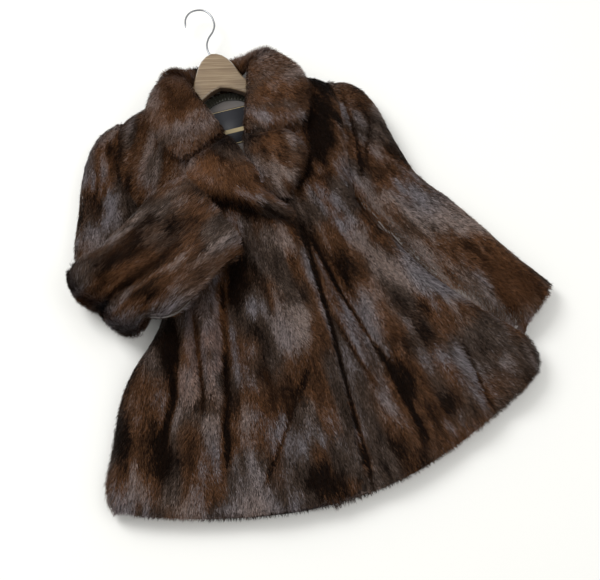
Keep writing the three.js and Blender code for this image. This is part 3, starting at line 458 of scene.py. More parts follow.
def set_in(mesh, lined, touching, creases):
    """Set the skin in under its pile and the lining inside it, then press the creases in."""
    co = values_of(mesh.vertices, "co")
    inner = at_points(mesh, lined) > 0.5
    seam = np.clip(SEAM_FADE * at_points(mesh, touching), 0, 1)
    depth = np.where(inner, LINING_DEPTH, PILE * (1 - seam))
    co -= values_of(mesh.vertices, "normal") * depth[:, None]
    for x0, y0, x1, y1, width, rise in creases:
        a, b = np.array((x0, y0)) * MM, np.array((x1, y1)) * MM
        run = b - a
        along = ((co[:, :2] - a) @ run) / (run @ run)
        side = (co[:, 0] - a[0]) * -run[1] + (co[:, 1] - a[1]) * run[0]
        side /= np.linalg.norm(run)
        fade = step(0, CREASE_START, along) * (1 - step(CREASE_END, 1, along))
        change = rise * MM * fade * np.exp(-((side / (width * MM)) ** 2))
        co[:, 2] += np.where(inner, np.minimum(change + LINING_SLACK, 0), change)
    co[:, 2] = np.maximum(co[:, 2], TABLE_GAP)
    mesh.vertices.foreach_set("co", co.ravel())


def pelt(node, inner_sees, levels, creases=()):
    """The skin of a piece in place of its solid, and how open its faces are to the air. inner_sees names the
    pieces that its lined side looks at. levels says how finely it is rounded. creases has rows of the x and
    y of both ends, the half width and the rise, in mm."""
    other_faces = [f for f, owner in zip(all_faces, face_owner) if owner != node]
    others = BVHTree.FromPolygons(all_points, other_faces)
    mesh = rounded_mesh(node, others, levels)
    lined, touching, open_sky = surroundings(mesh, others, inner_sees)
    set_in(mesh, lined, touching, creases)
    mesh.materials.clear()
    mesh.materials.append(skin)
    mesh.materials.append(satin)
    mesh.polygons.foreach_set("material_index", lined.astype(np.int32))
    mesh.shade_smooth()
    mesh.update()
    o = bpy.data.objects.new(node + "_pelt", mesh)
    root.objects.link(o)
    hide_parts(node)
    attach(o, "root")
    return o, open_sky


sheen = {"Sheen Weight": 0.05, "Sheen Roughness": 0.35, "Sheen Tint": (0.6, 0.6, 0.7, 1)}
hair_material = surface_material("mink_hair", (0.05, 0.03, 0.022), 0.45, sheen)
tint = add_node(hair_material, "ShaderNodeAttribute", attribute_name="hair_colour")
shine = add_node(hair_material, "ShaderNodeAttribute", attribute_name="hair_shine")
join(
    hair_material,
    (tint, "Color", main_shader(hair_material), "Base Color"),
    (shine, "Fac", main_shader(hair_material), "Specular IOR Level"),
)

# The fur's own tones: the dark, the brown, the dull brown and the red. The two greys are painted sheen, the
# silvery grey of light glancing off the hair, mixed in where the tone is highest.
DARK = np.array((0.007, 0.0034, 0.0018))
BROWN = np.array((0.084, 0.037, 0.0155))
DULL = np.array((0.054, 0.036, 0.0265))
RED = np.array((0.175, 0.074, 0.03))
SHEEN_WARM_GREY = np.array((0.178, 0.128, 0.108))
SHEEN_COOL_GREY = np.array((0.142, 0.124, 0.132))
BROAD_PATCH, FINE_PATCH = (0.034, 0.085, 1), (0.012, 0.036, 1)  # metres across and along the stripes
WARM_PATCH, COOL_PATCH = (0.03, 0.07, 1), (0.05, 0.1, 1)
# DARK_SHARE is how far darkness, the painted shade and sheen, moves the tone.
BROAD_SHARE, FINE_SHARE, DARK_SHARE = 0.56, 0.44, 0.32
DEEP_TONES, SHEEN_TONES = (0.17, 0.53), (0.51, 0.82)  # from dark to brown, and from brown to the silvery painted sheen
EVEN_SPLIT = (0.3, 0.7)
# Where painted shade darkens the fur, its brown is also made warmer by this share of the darkness.
WARM_WHERE_DARK = 0.25
PLAIN_SHINE, SHEEN_SHINE, BROWN_SHINE = 0.03, 0.45, 0.06


def fur_colour(across, along, darkness, redness, seed, mottle=0.0):
    """The colour and the shine of the fur at places along the stripes: dark and brown patches of its own
    tone, made darker by darkness, which is painted shade, and silvery patches that are painted sheen.
    """
    stripes = np.column_stack([across, along, np.zeros(len(across))])
    broad = soft_noise(stripes, BROAD_PATCH, seed)
    fine = soft_noise(stripes, FINE_PATCH, seed + 1)
    tone = BROAD_SHARE * broad + FINE_SHARE * fine - DARK_SHARE * darkness + mottle
    warm = step(*EVEN_SPLIT, soft_noise(stripes, WARM_PATCH, seed + 9) + WARM_WHERE_DARK * darkness)[:, None]
    cool = step(*EVEN_SPLIT, soft_noise(stripes, COOL_PATCH, seed + 11))[:, None]
    deep = step(*DEEP_TONES, tone)[:, None]
    painted_sheen = step(*SHEEN_TONES, tone)[:, None]
    colour = mix(DARK, mix(DULL, BROWN, warm), deep)
    colour = mix(colour, mix(SHEEN_WARM_GREY, SHEEN_COOL_GREY, cool), painted_sheen)
    colour = mix(colour, RED, redness[:, None])
    return colour, PLAIN_SHINE + SHEEN_SHINE * painted_sheen[:, 0] + BROWN_SHINE * deep[:, 0]


def paint(mesh, colours):
    """Give each point of a mesh its own colour."""
    layer = mesh.color_attributes.new("hair_colour", "FLOAT_COLOR", "POINT")
    layer.data.foreach_set("color", np.column_stack([colours, np.ones(len(colours))]).ravel())


FULL_AIR = 1.6  # a face that is open on more than 1 / 1.6 of its sides has its full share of hair
SQUARE_MM = 1e6  # in a square metre


def hair_roots(mesh, open_sky, density, rng):
    """Places and normals of the roots on the open faces. density is in hairs for each square mm."""
    corners = np.array([list(f.vertices) for f in mesh.polygons])
    weight = values_of(mesh.polygons, "area", 1)[:, 0] * np.clip(open_sky * FULL_AIR, 0, 1)
    count = int(weight.sum() * SQUARE_MM * density)
    face = rng.choice(len(weight), count, p=weight / weight.sum())
    u, v = rng.random((2, count, 1))
    a, b, c, d = (corners[face, k] for k in range(4))
    place, outward = (
        mix(mix(values[a], values[b], u), mix(values[d], values[c], u), v)
        for values in (values_of(mesh.vertices, "co"), values_of(mesh.vertices, "normal"))
    )
    return place, unit(outward)


LAYER_WEIGHT = 2  # a guide above or below counts as if it were this many times as far
GUIDE_BLUR, GUIDE_FALL = 0.0009, 1.5  # how wide a guide's own place is, and how fast it fades beyond
WEAK_FLOW = 0.2  # below this the hair hangs down instead
NEVER_ZERO = 1e-9


def hair_flow(p, n, guides):
    """The way the hair lies along the skin at each root, and how far it also points out of it. guides has
    rows of the x, y and z of a place in mm, and of the way the hair lies there."""
    flow = np.zeros_like(p)
    for x, y, z, dx, dy, dz in guides:
        away = p - np.array((x, y, z)) * MM
        away[:, 2] *= LAYER_WEIGHT
        g = np.array((dx, dy, dz), float)
        flow += g / np.linalg.norm(g) / ((away**2).sum(1) + GUIDE_BLUR)[:, None] ** GUIDE_FALL
    flow = unit(flow)
    outward = np.clip((flow * n).sum(1), 0, 1)[:, None]
    flow -= n * (flow * n).sum(1)[:, None]
    weak = np.linalg.norm(flow, axis=1) < WEAK_FLOW
    down = np.array((0.0, 0.0, -1.0)) - n * -n[:, 2:]
    flow[weak] += down[weak]
    flow /= np.linalg.norm(flow, axis=1)[:, None] + NEVER_ZERO
    return flow, outward


def hair_mesh(name, points, colours, shines):
    """One object of slender hairs. Each has a root, two points at its middle, a tip and two faces."""
    roots = np.arange(0, len(points), 4)[:, None]
    triangles = np.concatenate([roots + (0, 2, 1), roots + (1, 2, 3)], 1)
    fur = bpy.data.meshes.new(name)
    fur.vertices.add(len(points))
    fur.vertices.foreach_set("co", points.ravel())
    fur.loops.add(triangles.size)
    fur.loops.foreach_set("vertex_index", triangles.ravel().astype(np.int32))
    fur.polygons.add(triangles.size // 3)
    fur.polygons.foreach_set("loop_start", np.arange(0, triangles.size, 3, dtype=np.int32))
    fur.polygons.foreach_set("use_smooth", np.ones(triangles.size // 3, bool))
    fur.update(calc_edges=True)
    paint(fur, colours)
    fur.attributes.new("hair_shine", "FLOAT", "POINT").data.foreach_set("value", shines)
    fur.materials.append(hair_material)
    h = bpy.data.objects.new(name, fur)
    root.objects.link(h)
    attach(h, "root")
    return h


HAIR_LENGTH, HAIR_RISE, HAIR_WIDTH = 0.0098, 0.003, 0.0008
HAIR_SIZES, HAIR_ROLL = (0.75, 1.15), 0.45
ROOT_DEPTH, MIDDLE_LIFT, TIP_LIFT, HAIR_TABLE_GAP = 0.0006, 0.0003, 0.0006, 0.0003
MIDDLE_AT, MIDDLE_RISE = 0.45, 0.7  # where the middle of a hair is, as shares of its reach and its rise
SKIN_SHADE = 0.5  # the skin beside the hair gets the fur's colour this bright, as painted shade deep in the pile
STREAK = 0.005  # each hair takes its colour from about this far up or down the pile
LIE_PATCH, TUFT_PATCH = (0.03, 0.07, 1), (0.0026, 0.006, 1)
LIE_TURN, TUFT_TURN, LOOSE_TURN = 0.6, 0.3, 0.18
STRAYS, STRAY_RISE = 0.04, 1.6
TUFT_MOTTLE, LOOSE_MOTTLE = 0.2, 0.06
TUFT_LIGHT, LOOSE_LIGHT = 0.9, (0.7, 1.3)
ALONG_HAIR = (0.55, 0.95, 0.95, 1.25)  # how bright a hair is at its root, its middle's two points and tip: painted shade at the root, painted sheen at the tip
HAIRS_A_PIECE = 98000


def hair(name, parts, guides, tones, density, seed, length=HAIR_LENGTH):
    """Combed hair on the open faces of one pelt. guides says how it lies. tones gives the place along the
    skins' own stripes, the darkness, which is painted shade and below zero painted sheen, and the redness."""
    o, open_sky = parts
    mesh = o.data
    rng = np.random.default_rng(seed)
    # The skin under the hair takes the fur's colour, dimmed as painted shade deep in the pile.
    paint(mesh, fur_colour(*tones(values_of(mesh.vertices, "co")), seed)[0] * SKIN_SHADE)
    p, n = hair_roots(mesh, open_sky, density, rng)
    flow, outward = hair_flow(p, n, guides)
    count = len(p)

    across, along, darkness, redness = tones(p + flow * rng.normal(0, STREAK, (count, 1)))
    stripes = np.column_stack([across, along, np.zeros(count)])
    lie = soft_noise(stripes, LIE_PATCH, seed + 3) - 0.5
    tuft = soft_noise(stripes, TUFT_PATCH, seed + 5) - 0.5
    turn = LIE_TURN * lie + TUFT_TURN * tuft + rng.normal(0, LOOSE_TURN, count)
    flow = flow * np.cos(turn)[:, None] + np.cross(n, flow) * np.sin(turn)[:, None]
    aside = np.cross(n, flow)
    way = flow * np.sqrt(1 - outward**2) + n * outward

    mottle = TUFT_MOTTLE * tuft + rng.normal(0, LOOSE_MOTTLE, count)
    colour, shine = fur_colour(across, along, darkness, redness, seed, mottle)
    colour = colour * ((1 + TUFT_LIGHT * tuft) * rng.uniform(*LOOSE_LIGHT, count))[:, None]
    size = rng.uniform(*HAIR_SIZES, count)
    stray = rng.random(count) < STRAYS
    reach = (length * size)[:, None]
    lift = HAIR_RISE * size * (1 + tuft) * np.where(stray, STRAY_RISE, 1.0)
    roll = rng.normal(0, HAIR_ROLL, count)
    wide = (aside * np.cos(roll)[:, None] + n * np.sin(roll)[:, None]) * HAIR_WIDTH / 2
    middle = p + way * reach * MIDDLE_AT + n * (lift * MIDDLE_RISE + MIDDLE_LIFT)[:, None]
    tip = p + way * reach + n * (lift + TIP_LIFT)[:, None]
    points = np.stack([p - n * ROOT_DEPTH, middle - wide, middle + wide, tip], 1).reshape(-1, 3)
    points[:, 2] = np.maximum(points[:, 2], HAIR_TABLE_GAP)
    # Each hair is painted darker at the root and lighter at the tip: painted shade and painted sheen along
    # it.
    shades = np.stack([colour * s for s in ALONG_HAIR], 1).reshape(-1, 3)
    shines = np.repeat(shine, len(ALONG_HAIR))

    pieces = -(-count // HAIRS_A_PIECE)
    made = []
    for k, letter in zip(range(pieces), "abc"):
        rows = slice(count * k // pieces * 4, count * (k + 1) // pieces * 4)
        made.append(hair_mesh(f"{name}_{letter}", points[rows], shades[rows], shines[rows]))
    return made


# The back: one panel of mink skins from the shoulders to the hem, seamed to the fronts at the sides. It
# lies fur down, so only its edges and its lining can be seen.
RAGGED = [  # how far the outlines of the patches wander, the size of the waves, and the noise's seed
    (0.036, (0.02, 0.034, 0.03), 40),
    (0.014, (0.006, 0.012, 0.012), 50),
]


def ragged(p):
    """The places moved a little to and fro, so that the patches of colour get uneven outlines."""
    moved = p.copy()
    for k in (0, 1):
        for reach, waves, seed in RAGGED:
            moved[:, k] += reach * (soft_noise(p, waves, seed + k) - 0.5)
    return moved


SPOT_EDGE = 1.4  # how firm the edge of a patch is


def spots(p, places):
    """How much patches cover each place: rows of x, y, half width, half length, slant and amount."""
    q = ragged(p)
    total = np.zeros(len(p))
    for x, y, wide, tall, slant, amount in places:
        dx, dy = q[:, 0] - x * MM, q[:, 1] - y * MM
        c, s = math.cos(math.radians(slant)), math.sin(math.radians(slant))
        a, b = dx * c + dy * s, -dx * s + dy * c
        total += amount * np.exp(-(((a / (wide * MM)) ** 2 + (b / (tall * MM)) ** 2) ** SPOT_EDGE))
    return total


FAR_AWAY = 9.0
LINE_EDGE = 2.4  # how firm the edge of a line of painted shade is
LINE_ENDS = (-0.01, 0.04)  # a line fades over this distance at both ends


def shade_and_sheen_at(p, places, lines):
    """Painted shade in darker places and painted sheen in lighter ones, and painted shade along dark lines
    in folds: rows of a line's points, half width and amount.
    """
    total = spots(p, places)
    for line, width, amount in lines:
        q = np.array(line, float) * MM
        nearest = np.full(len(p), FAR_AWAY)
        for a, b in zip(q[:-1], q[1:]):
            t = np.clip(((p[:, :2] - a) @ (b - a)) / ((b - a) @ (b - a)), 0, 1)[:, None]
            nearest = np.minimum(nearest, np.linalg.norm(p[:, :2] - a - t * (b - a), axis=1))
        ends = np.minimum(*(np.linalg.norm(p[:, :2] - end, axis=1) for end in (q[0], q[-1])))
        total += amount * np.exp(-((nearest / (width * MM)) ** LINE_EDGE)) * step(*LINE_ENDS, ends)
    return total


def fan_stripes(x, y, radius, places, lines=(), reds=()):
    """Skins that fan out from one place. A place on them is told by its angle, as a width at the given
    radius, and by its distance."""

    def tones(p):
        away = p[:, :2] - np.array((x, y)) * MM
        r = np.linalg.norm(away, axis=1)
        return np.arctan2(away[:, 0], -away[:, 1]) * radius, r, shade_and_sheen_at(p, places, lines), spots(p, reds)

    return tones


BODY_FAN = (-36, 622, 0.95)
BODY_LIE = [
    (-232, 268, 45, -1, -0.5, 0),
    (-240, 190, 45, -1, -0.7, 0),
    (-170, 230, 50, -0.2, -1, 0),
    (-60, 200, 50, -0.05, -1, 0),
    (60, 200, 50, 0.05, -1, 0),
    (120, 230, 50, 0.15, -1, 0),
    (-120, 0, 45, -0.12, -1, 0),
    (60, 0, 45, 0.1, -1, 0),
    (-200, -160, 40, -0.32, -1, 0),
    (-40, -200, 40, -0.02, -1, 0),
    (110, -160, 40, 0.2, -1, 0),
    (200, -200, 50, 0.45, -1, 0),
    (-340, -340, 30, -0.5, -1, 0),
    (-180, -440, 30, -0.2, -1, 0),
    (-30, -470, 30, 0, -1, 0),
    (120, -450, 30, 0.15, -1, 0),
    (280, -370, 40, 0.5, -1, 0),
]
back = pelt("back", {"front_left", "front_right", "lining_back", "hanger", "label", "neck_trim"}, levels=1)
back_hair = hair("back_hair", back, BODY_LIE, fan_stripes(*BODY_FAN, []), density=1.2, seed=2)


# The left front: a panel of mink skins, seamed to the back at the side and lined. It lies under the right
# one, with a deep fold beside the closing edge and softer ones at the hem.
LEFT_FRONT_CREASES = [
    (40, -90, 84, -300, 5, -7),
    (60, -90, 104, -300, 10, 6),
    (92, 190, 88, 60, 7, -3),
    (140, 190, 130, 60, 12, 2.5),
    (180, -140, 286, -300, 8, -4),
    (150, -60, 200, -200, 12, 4),
    (214, -290, 224, -432, 8, -4),
    (24, -193, 56, -333, 8, -4),
]
# Painted shade where the amount is above zero and painted sheen where it is below, in patches on the left
# front. Its lines are painted shade in the folds, along the closing edge and beside the left lapel.
LEFT_FRONT_SHADE_AND_SHEEN = [
    (160, -50, 30, 35, -20, 1.1),
    (105, -310, 14, 60, 5, 1.0),
    (160, -260, 22, 50, 20, 0.7),
    (265, -330, 35, 25, 20, 0.8),
    (150, -400, 40, 18, 15, 0.7),
    (50, -400, 22, 60, 10, 0.6),
    (105, -75, 28, 38, -10, -1.0),
    (135, -150, 28, 45, 25, -0.9),
    (210, -210, 22, 60, 45, -0.8),
    (80, -235, 14, 50, 10, -0.8),
    (200, -330, 20, 45, 30, -0.7),
]
LEFT_FRONT_SHADE_LINES = [
    (((148, 340), (136, 235), (108, 150), (85, 75)), 25, 1.7),
    (((76, 120), (58, 72), (20, 34)), 9, 1.6),
    (((30, -35), (50, -160), (90, -310), (105, -450)), 5, 2.0),
    (((23, -20), (18, -180), (0, -490)), 4, 1.8),
    (((214, -290), (224, -440)), 5, 1.2),
    (((24, -190), (56, -340)), 4, 1.2),
    (((156, -50), (190, -135), (295, -300)), 4, 1.2),
]
LEFT_FRONT_REDS = [(112, -240, 12, 80, 10, 0.3)]
FRONT_DENSITY = 0.65
left_front = pelt(
    "front_left", {"back", "lining_back", "hanger"}, levels=2, creases=LEFT_FRONT_CREASES
)
left_front_tones = fan_stripes(*BODY_FAN, LEFT_FRONT_SHADE_AND_SHEEN, LEFT_FRONT_SHADE_LINES, LEFT_FRONT_REDS)
left_front_hair = hair("front_left_hair", left_front, BODY_LIE, left_front_tones, FRONT_DENSITY, seed=4)


# The right front: a panel of mink skins like the left one, seamed at the side and lined. It laps over the
# left front as far as the closing edge, and the folded sleeve lies on it.
RIGHT_FRONT_CREASES = [
    (-196, -120, -222, -300, 5, -13),
    (-176, -110, -200, -310, 9, 8),
    (-214, -120, -246, -300, 9, 8),
    (-137, -80, -200, -360, 6, -5),
    (-60, -120, -48, -300, 12, 4),
    (-37, -269, -167, -444, 8, -4),
]
# Painted shade where the amount is above zero, as under the cuff and the lapel, and painted sheen where it
# is below, as painted highlight on the two ridges. Its lines are painted shade in the folds, in the armhole
# seam and under the lapel.
RIGHT_FRONT_SHADE_AND_SHEEN = [
    (-95, -100, 30, 40, 10, 1.3),
    (-315, -340, 35, 60, -10, 1.1),
    (-125, -300, 40, 25, -20, 1.1),
    (-215, -290, 24, 16, -15, 0.9),
    (-75, -440, 20, 45, -15, 0.9),
    (-250, -190, 20, 40, -15, 0.9),
    (-105, -40, 45, 14, 25, 0.8),
    (-217, -200, 14, 85, -12, -1.3),
    (-182, -200, 13, 85, -12, -1.3),
    (-160, -370, 28, 50, -20, -1.0),
    (-70, -390, 16, 40, -15, -0.9),
    (-45, -190, 24, 65, -10, -0.9),
    (-275, -310, 15, 60, -15, -0.7),
    (-20, -40, 30, 30, -15, -0.7),
    (-200, -470, 100, 12, -12, -0.7),
]
RIGHT_FRONT_SHADE_LINES = [
    (((-137, -70), (-160, -190), (-186, -300), (-208, -400)), 8, 1.6),
    (((-193, -120), (-220, -300)), 6, 2.2),
    (((-232, -120), (-264, -260), (-306, -340)), 7, 2.0),
    (((-37, -270), (-90, -345), (-167, -450)), 5, 1.3),
    (((-240, 270), (-250, 100)), 10, 0.9),
    (((-140, 82), (-85, 42), (-35, 8)), 12, 1.8),
]
RIGHT_FRONT_REDS = [
    (-217, -200, 14, 85, -12, 0.5),
    (-182, -200, 13, 85, -12, 0.5),
    (-120, -300, 40, 25, -20, 0.12),
]
right_front = pelt(
    "front_right",
    {"back", "front_left", "lining_back", "hanger"},
    levels=2,
    creases=RIGHT_FRONT_CREASES,
)
right_front_tones = fan_stripes(*BODY_FAN, RIGHT_FRONT_SHADE_AND_SHEEN, RIGHT_FRONT_SHADE_LINES, RIGHT_FRONT_REDS)
right_front_hair = hair("front_right_hair", right_front, BODY_LIE, right_front_tones, FRONT_DENSITY, seed=7)


# The left sleeve: two strips of mink skins seamed into a wide lined tube, and gathered where it is sewn
# into the armhole. It is laid straight down beside the body, open at the cuff.
HEIGHT_SHIFT = 0.6  # the stripes move this much aside with height, so that both sides of the tube differ


def straight_stripes(x, y, dx, dy, places, lines=(), reds=()):
    """Skins that run straight from x, y along dx, dy. A place is told by its distance across and along."""
    run = np.array((dx, dy)) / math.hypot(dx, dy)

    def tones(p):
        away = p[:, :2] - np.array((x, y)) * MM
        across = away @ np.array((-run[1], run[0])) + p[:, 2] * HEIGHT_SHIFT
        return across, away @ run, shade_and_sheen_at(p, places, lines), spots(p, reds)

    return tones


LEFT_SLEEVE_LIE = [
    (180, 235, 50, 0.5, -0.85, 0),
    (165, 120, 45, 0.25, -0.97, 0),
    (225, 130, 20, 0.2, -0.98, 0),
    (190, 30, 45, 0.25, -0.97, 0),
    (240, 40, 20, 0.3, -0.95, 0),
    (230, -90, 40, 0.42, -0.9, 0),
    (320, -130, 20, 0.45, -0.9, 0),
    (300, -220, 40, 0.42, -0.9, 0),
    (308, -280, 20, -0.5, -1, 0),
    (380, -240, 20, 0.5, -0.87, 0),
]
LEFT_SLEEVE_CREASES = [
    (172, 225, 164, 100, 6, -6),
    (180, 225, 178, 110, 8, 4),
    (208, 165, 166, 60, 6, -6),
    (218, 170, 190, 70, 8, 4),
    (240, 112, 239, 37, 7, -5),
    (230, 60, 300, -60, 12, -3),
]
# Painted shade where the amount is above zero, as beside the body's edge, and painted sheen where it is
# below. Its lines are painted shade in the folds at the armhole.
LEFT_SLEEVE_SHADE_AND_SHEEN = [
    (225, 75, 20, 32, -20, 1.1),
    (200, 175, 10, 55, -10, 0.8),
    (335, -200, 32, 75, 25, 1.2),
    (292, -190, 16, 80, 25, 0.9),
    (285, -150, 14, 50, 25, 0.9),
    (215, -30, 22, 50, 20, -0.9),
    (275, -90, 24, 34, 30, -0.8),
    (245, 190, 20, 26, -20, -0.5),
    (255, 0, 14, 36, 20, -0.6),
    (365, -200, 12, 40, 30, -0.5),
]
LEFT_SLEEVE_SHADE_LINES = [
    (((170, 225), (172, 150), (150, 25)), 4, 1.6),
    (((211, 165), (183, 103), (157, 45)), 4, 1.6),
    (((237, 115), (239, 35)), 6, 1.2),
]
LEFT_SLEEVE_REDS = [(330, -210, 50, 80, 25, 0.32)]
left_sleeve = pelt("sleeve_left_top", {"sleeve_left_under"}, levels=2, creases=LEFT_SLEEVE_CREASES)
left_under = pelt("sleeve_left_under", {"sleeve_left_top"}, levels=1)
left_sleeve_tones = straight_stripes(
    160, 190, 180, -450, LEFT_SLEEVE_SHADE_AND_SHEEN, LEFT_SLEEVE_SHADE_LINES, LEFT_SLEEVE_REDS
)
left_sleeve_hair = hair(
    "sleeve_left_hair", left_sleeve, LEFT_SLEEVE_LIE, left_sleeve_tones, density=0.68, seed=11
)
left_under_hair = hair(
    "sleeve_left_under_hair", left_under, LEFT_SLEEVE_LIE, left_sleeve_tones, density=1.0, seed=13
)


# The right sleeve: the same tube of two strips, seamed, lined and sewn into its armhole. It is folded up
# at the elbow, so that its forearm lies over the front.
RIGHT_SLEEVE_LIE = [
    (-250, 240, 45, -0.5, -0.85, 0),
    (-290, 160, 40, -0.3, -0.95, 0),
    (-330, 60, 40, -0.25, -0.97, 0),
    (-350, 0, 35, -0.3, -0.95, 0),
    (-372, -30, 10, -0.6, -0.7, 0),
    (-320, -130, 10, -0.6, -0.7, 0),
    (-392, -20, 46, -0.1, -0.1, 1),
    (-340, -120, 46, -0.1, -0.1, 1),
    (-380, -30, 85, 0.8, 0.4, 0.4),
    (-320, -110, 85, 0.8, 0.4, 0.4),
    (-300, 0, 92, 0.9, 0.44, 0),
    (-250, -60, 92, 0.92, 0.4, 0),
    (-170, 40, 90, 0.9, 0.4, 0),
    (-130, -30, 90, 0.95, 0.2, 0),
    (-150, 90, 70, 0.9, 0.2, 0),
]
FOREARM_CREASES = [
    (-365, -104, -190, -24, 6, -7),
    (-330, -46, -210, 0, 14, 4),
    (-320, -120, -190, -60, 12, 5),
]
UPPER_ARM_CREASES = [
    (-250, 230, -262, 170, 5, -3),
    (-268, 236, -278, 176, 5, -3),
    (-256, 190, -276, 130, 5, -3),
]
# Painted shade where the amount is above zero and painted sheen where it is below, on the folded forearm.
# Its lines are painted shade in the crease between the two rolls.
FOREARM_SHADE_AND_SHEEN = [
    (-230, -20, 120, 70, 25, 0.3),
    (-375, -50, 36, 60, 20, -0.7),
    (-270, -82, 60, 9, 25, -0.8),
    (-262, 28, 80, 9, 25, -0.7),
    (-235, 5, 60, 16, 25, 0.7),
    (-300, -35, 45, 16, 25, 0.8),
    (-285, -110, 40, 16, 25, 0.6),
    (-130, -20, 16, 36, -10, -0.5),
    (-165, 45, 40, 12, 25, -0.4),
    (-210, -55, 50, 12, 20, -0.4),
]
FOREARM_SHADE_LINES = [
    (((-365, -104), (-298, -70), (-196, -27)), 5, 2.4),
    (((-350, -16), (-226, 34)), 6, 0.5),
]
FOREARM_REDS = [(-250, -35, 80, 20, 25, 0.12), (-290, -5, 50, 12, 25, 0.1)]
# Painted shade where the amount is above zero and painted sheen where it is below, on the upper arm. Its
# lines are painted shade in the folds.
UPPER_ARM_SHADE_AND_SHEEN = [
    (-265, 220, 13, 50, -10, 1.0),
    (-310, 120, 18, 50, -10, 0.9),
    (-280, 135, 14, 50, -10, -0.8),
    (-325, 50, 20, 30, -10, -0.7),
    (-258, 200, 8, 60, -8, 0.7),
]
UPPER_ARM_SHADE_LINES = [
    (((-255, 250), (-280, 150)), 5, 1.0),
    (((-282, 225), (-315, 110)), 5, 1.0),
]
UPPER_ARM_REDS = [(-275, 215, 14, 40, -10, 0.25)]
FOREARM_HAIR = 0.0125
right_sleeve = pelt("sleeve_right_outer", {"sleeve_right_inner"}, levels=2, creases=FOREARM_CREASES)
right_inner = pelt("sleeve_right_inner", {"sleeve_right_outer"}, levels=2, creases=UPPER_ARM_CREASES)
forearm_tones = straight_stripes(-330, -80, 205, 100, FOREARM_SHADE_AND_SHEEN, FOREARM_SHADE_LINES, FOREARM_REDS)
upper_arm_tones = straight_stripes(-240, 170, -90, -240, UPPER_ARM_SHADE_AND_SHEEN, UPPER_ARM_SHADE_LINES, UPPER_ARM_REDS)
right_sleeve_hair = hair(
    "sleeve_right_outer_hair",
    right_sleeve,
    RIGHT_SLEEVE_LIE,
    forearm_tones,
    density=0.77,
    seed=17,
    length=FOREARM_HAIR,
)
right_inner_hair = hair(
    "sleeve_right_inner_hair", right_inner, RIGHT_SLEEVE_LIE, upper_arm_tones, density=0.7, seed=19
)


# The collar: one band of mink skins, doubled at its outer edge and sewn round the neck seam. It lies down
# on the fronts as far as the notches.
COLLAR_LIE = [
    (-34, 330, 22, 0, 0.6, 0.8),
    (-34, 365, 18, 0, 0.8, -0.6),
    (-100, 350, 40, -0.3, 0.6, 0.6),
    (36, 350, 40, 0.3, 0.6, 0.6),
    (-150, 310, 75, -0.7, -0.6, 0),
    (-100, 290, 80, -0.5, -0.85, 0),
    (-120, 220, 80, -0.2, -0.98, 0),
    (-170, 200, 75, -0.4, -0.9, 0),
    (-70, 170, 80, 0.1, -1, 0),
    (80, 310, 75, 0.7, -0.6, 0),
    (30, 290, 78, 0.4, -0.9, 0),
    (50, 220, 76, 0.3, -0.95, 0),
    (100, 210, 72, 0.5, -0.85, 0),
    (0, 190, 76, 0.1, -1, 0),
]

# Painted shade where the amount is above zero and painted sheen where it is below, in patches on the collar.
COLLAR_SHADE_AND_SHEEN = [
    (-130, 300, 22, 30, -20, 1.0),
    (-125, 250, 20, 34, -10, 0.9),
    (-80, 285, 12, 40, -15, 0.7),
    (48, 230, 18, 45, -15, 0.9),
    (10, 325, 26, 20, -15, 0.8),
    (95, 215, 14, 45, -15, 0.5),
    (-155, 205, 28, 26, -10, -0.3),
    (60, 175, 24, 28, -15, 0.2),
    (0, 180, 18, 30, -15, -0.4),
]
COLLAR_REDS = [(-130, 270, 60, 80, -10, 0.2), (50, 260, 60, 80, 0, 0.2)]
COLLAR_FAN = (-36, 232, 0.11)
COLLAR_HAIR = 0.012
collar = pelt("collar", set(), levels=2)
collar_tones = fan_stripes(*COLLAR_FAN, COLLAR_SHADE_AND_SHEEN, reds=COLLAR_REDS)
collar_hair = hair(
    "collar_hair", collar, COLLAR_LIE, collar_tones, density=0.78, seed=23, length=COLLAR_HAIR
)


# The lapels: the tops of the two fronts, doubled with a facing of mink and turned back below the collar's
# notches, the right one on the left one.
LAPEL_LIE = [
    (-110, 120, 75, -0.5, -0.87, 0),
    (-130, 100, 72, -0.6, -0.8, 0),
    (-70, 80, 78, 0.1, -1, 0),
    (-50, 120, 78, 0.2, -0.98, 0),
    (-30, 40, 76, 0.5, -0.87, 0),
    (0, -10, 70, 0.8, -0.6, 0),
    (0, 140, 70, 0.3, -0.95, 0),
    (45, 130, 70, 0.6, -0.8, 0),
    (40, 90, 70, 0.4, -0.92, 0),
    (5, 60, 70, 0, -1, 0),
]
# Painted shade where the amount is above zero and painted sheen where it is below, in patches on the lapels.
# The right lapel's line is painted shade along its lower edge.
RIGHT_LAPEL_SHADE_AND_SHEEN = [
    (-95, 125, 26, 16, -40, 0.7),
    (-125, 110, 30, 34, 0, 0.5),
    (-60, 75, 30, 16, -40, 0.5),
    (-35, 20, 28, 14, -30, -0.8),
]
RIGHT_LAPEL_SHADE_LINES = [(((-140, 76), (-85, 44), (-35, 10)), 9, 2.2)]
LEFT_LAPEL_SHADE_AND_SHEEN = [
    (-5, 135, 24, 18, -15, 0.5),
    (10, 70, 26, 26, -15, -0.9),
    (-18, 110, 12, 40, -15, -0.6),
]
RIGHT_LAPEL_REDS = [(-130, 110, 24, 36, -10, 0.55), (-80, 80, 60, 50, 0, 0.15)]
LEFT_LAPEL_REDS = [(12, 150, 40, 14, 0, 0.35)]
LAPEL_DENSITY = 0.88
right_lapel = pelt("lapel_right", set(), levels=2)
left_lapel = pelt("lapel_left", set(), levels=2)
right_lapel_tones = straight_stripes(
    -120, 130, 100, -130, RIGHT_LAPEL_SHADE_AND_SHEEN, RIGHT_LAPEL_SHADE_LINES, RIGHT_LAPEL_REDS
)
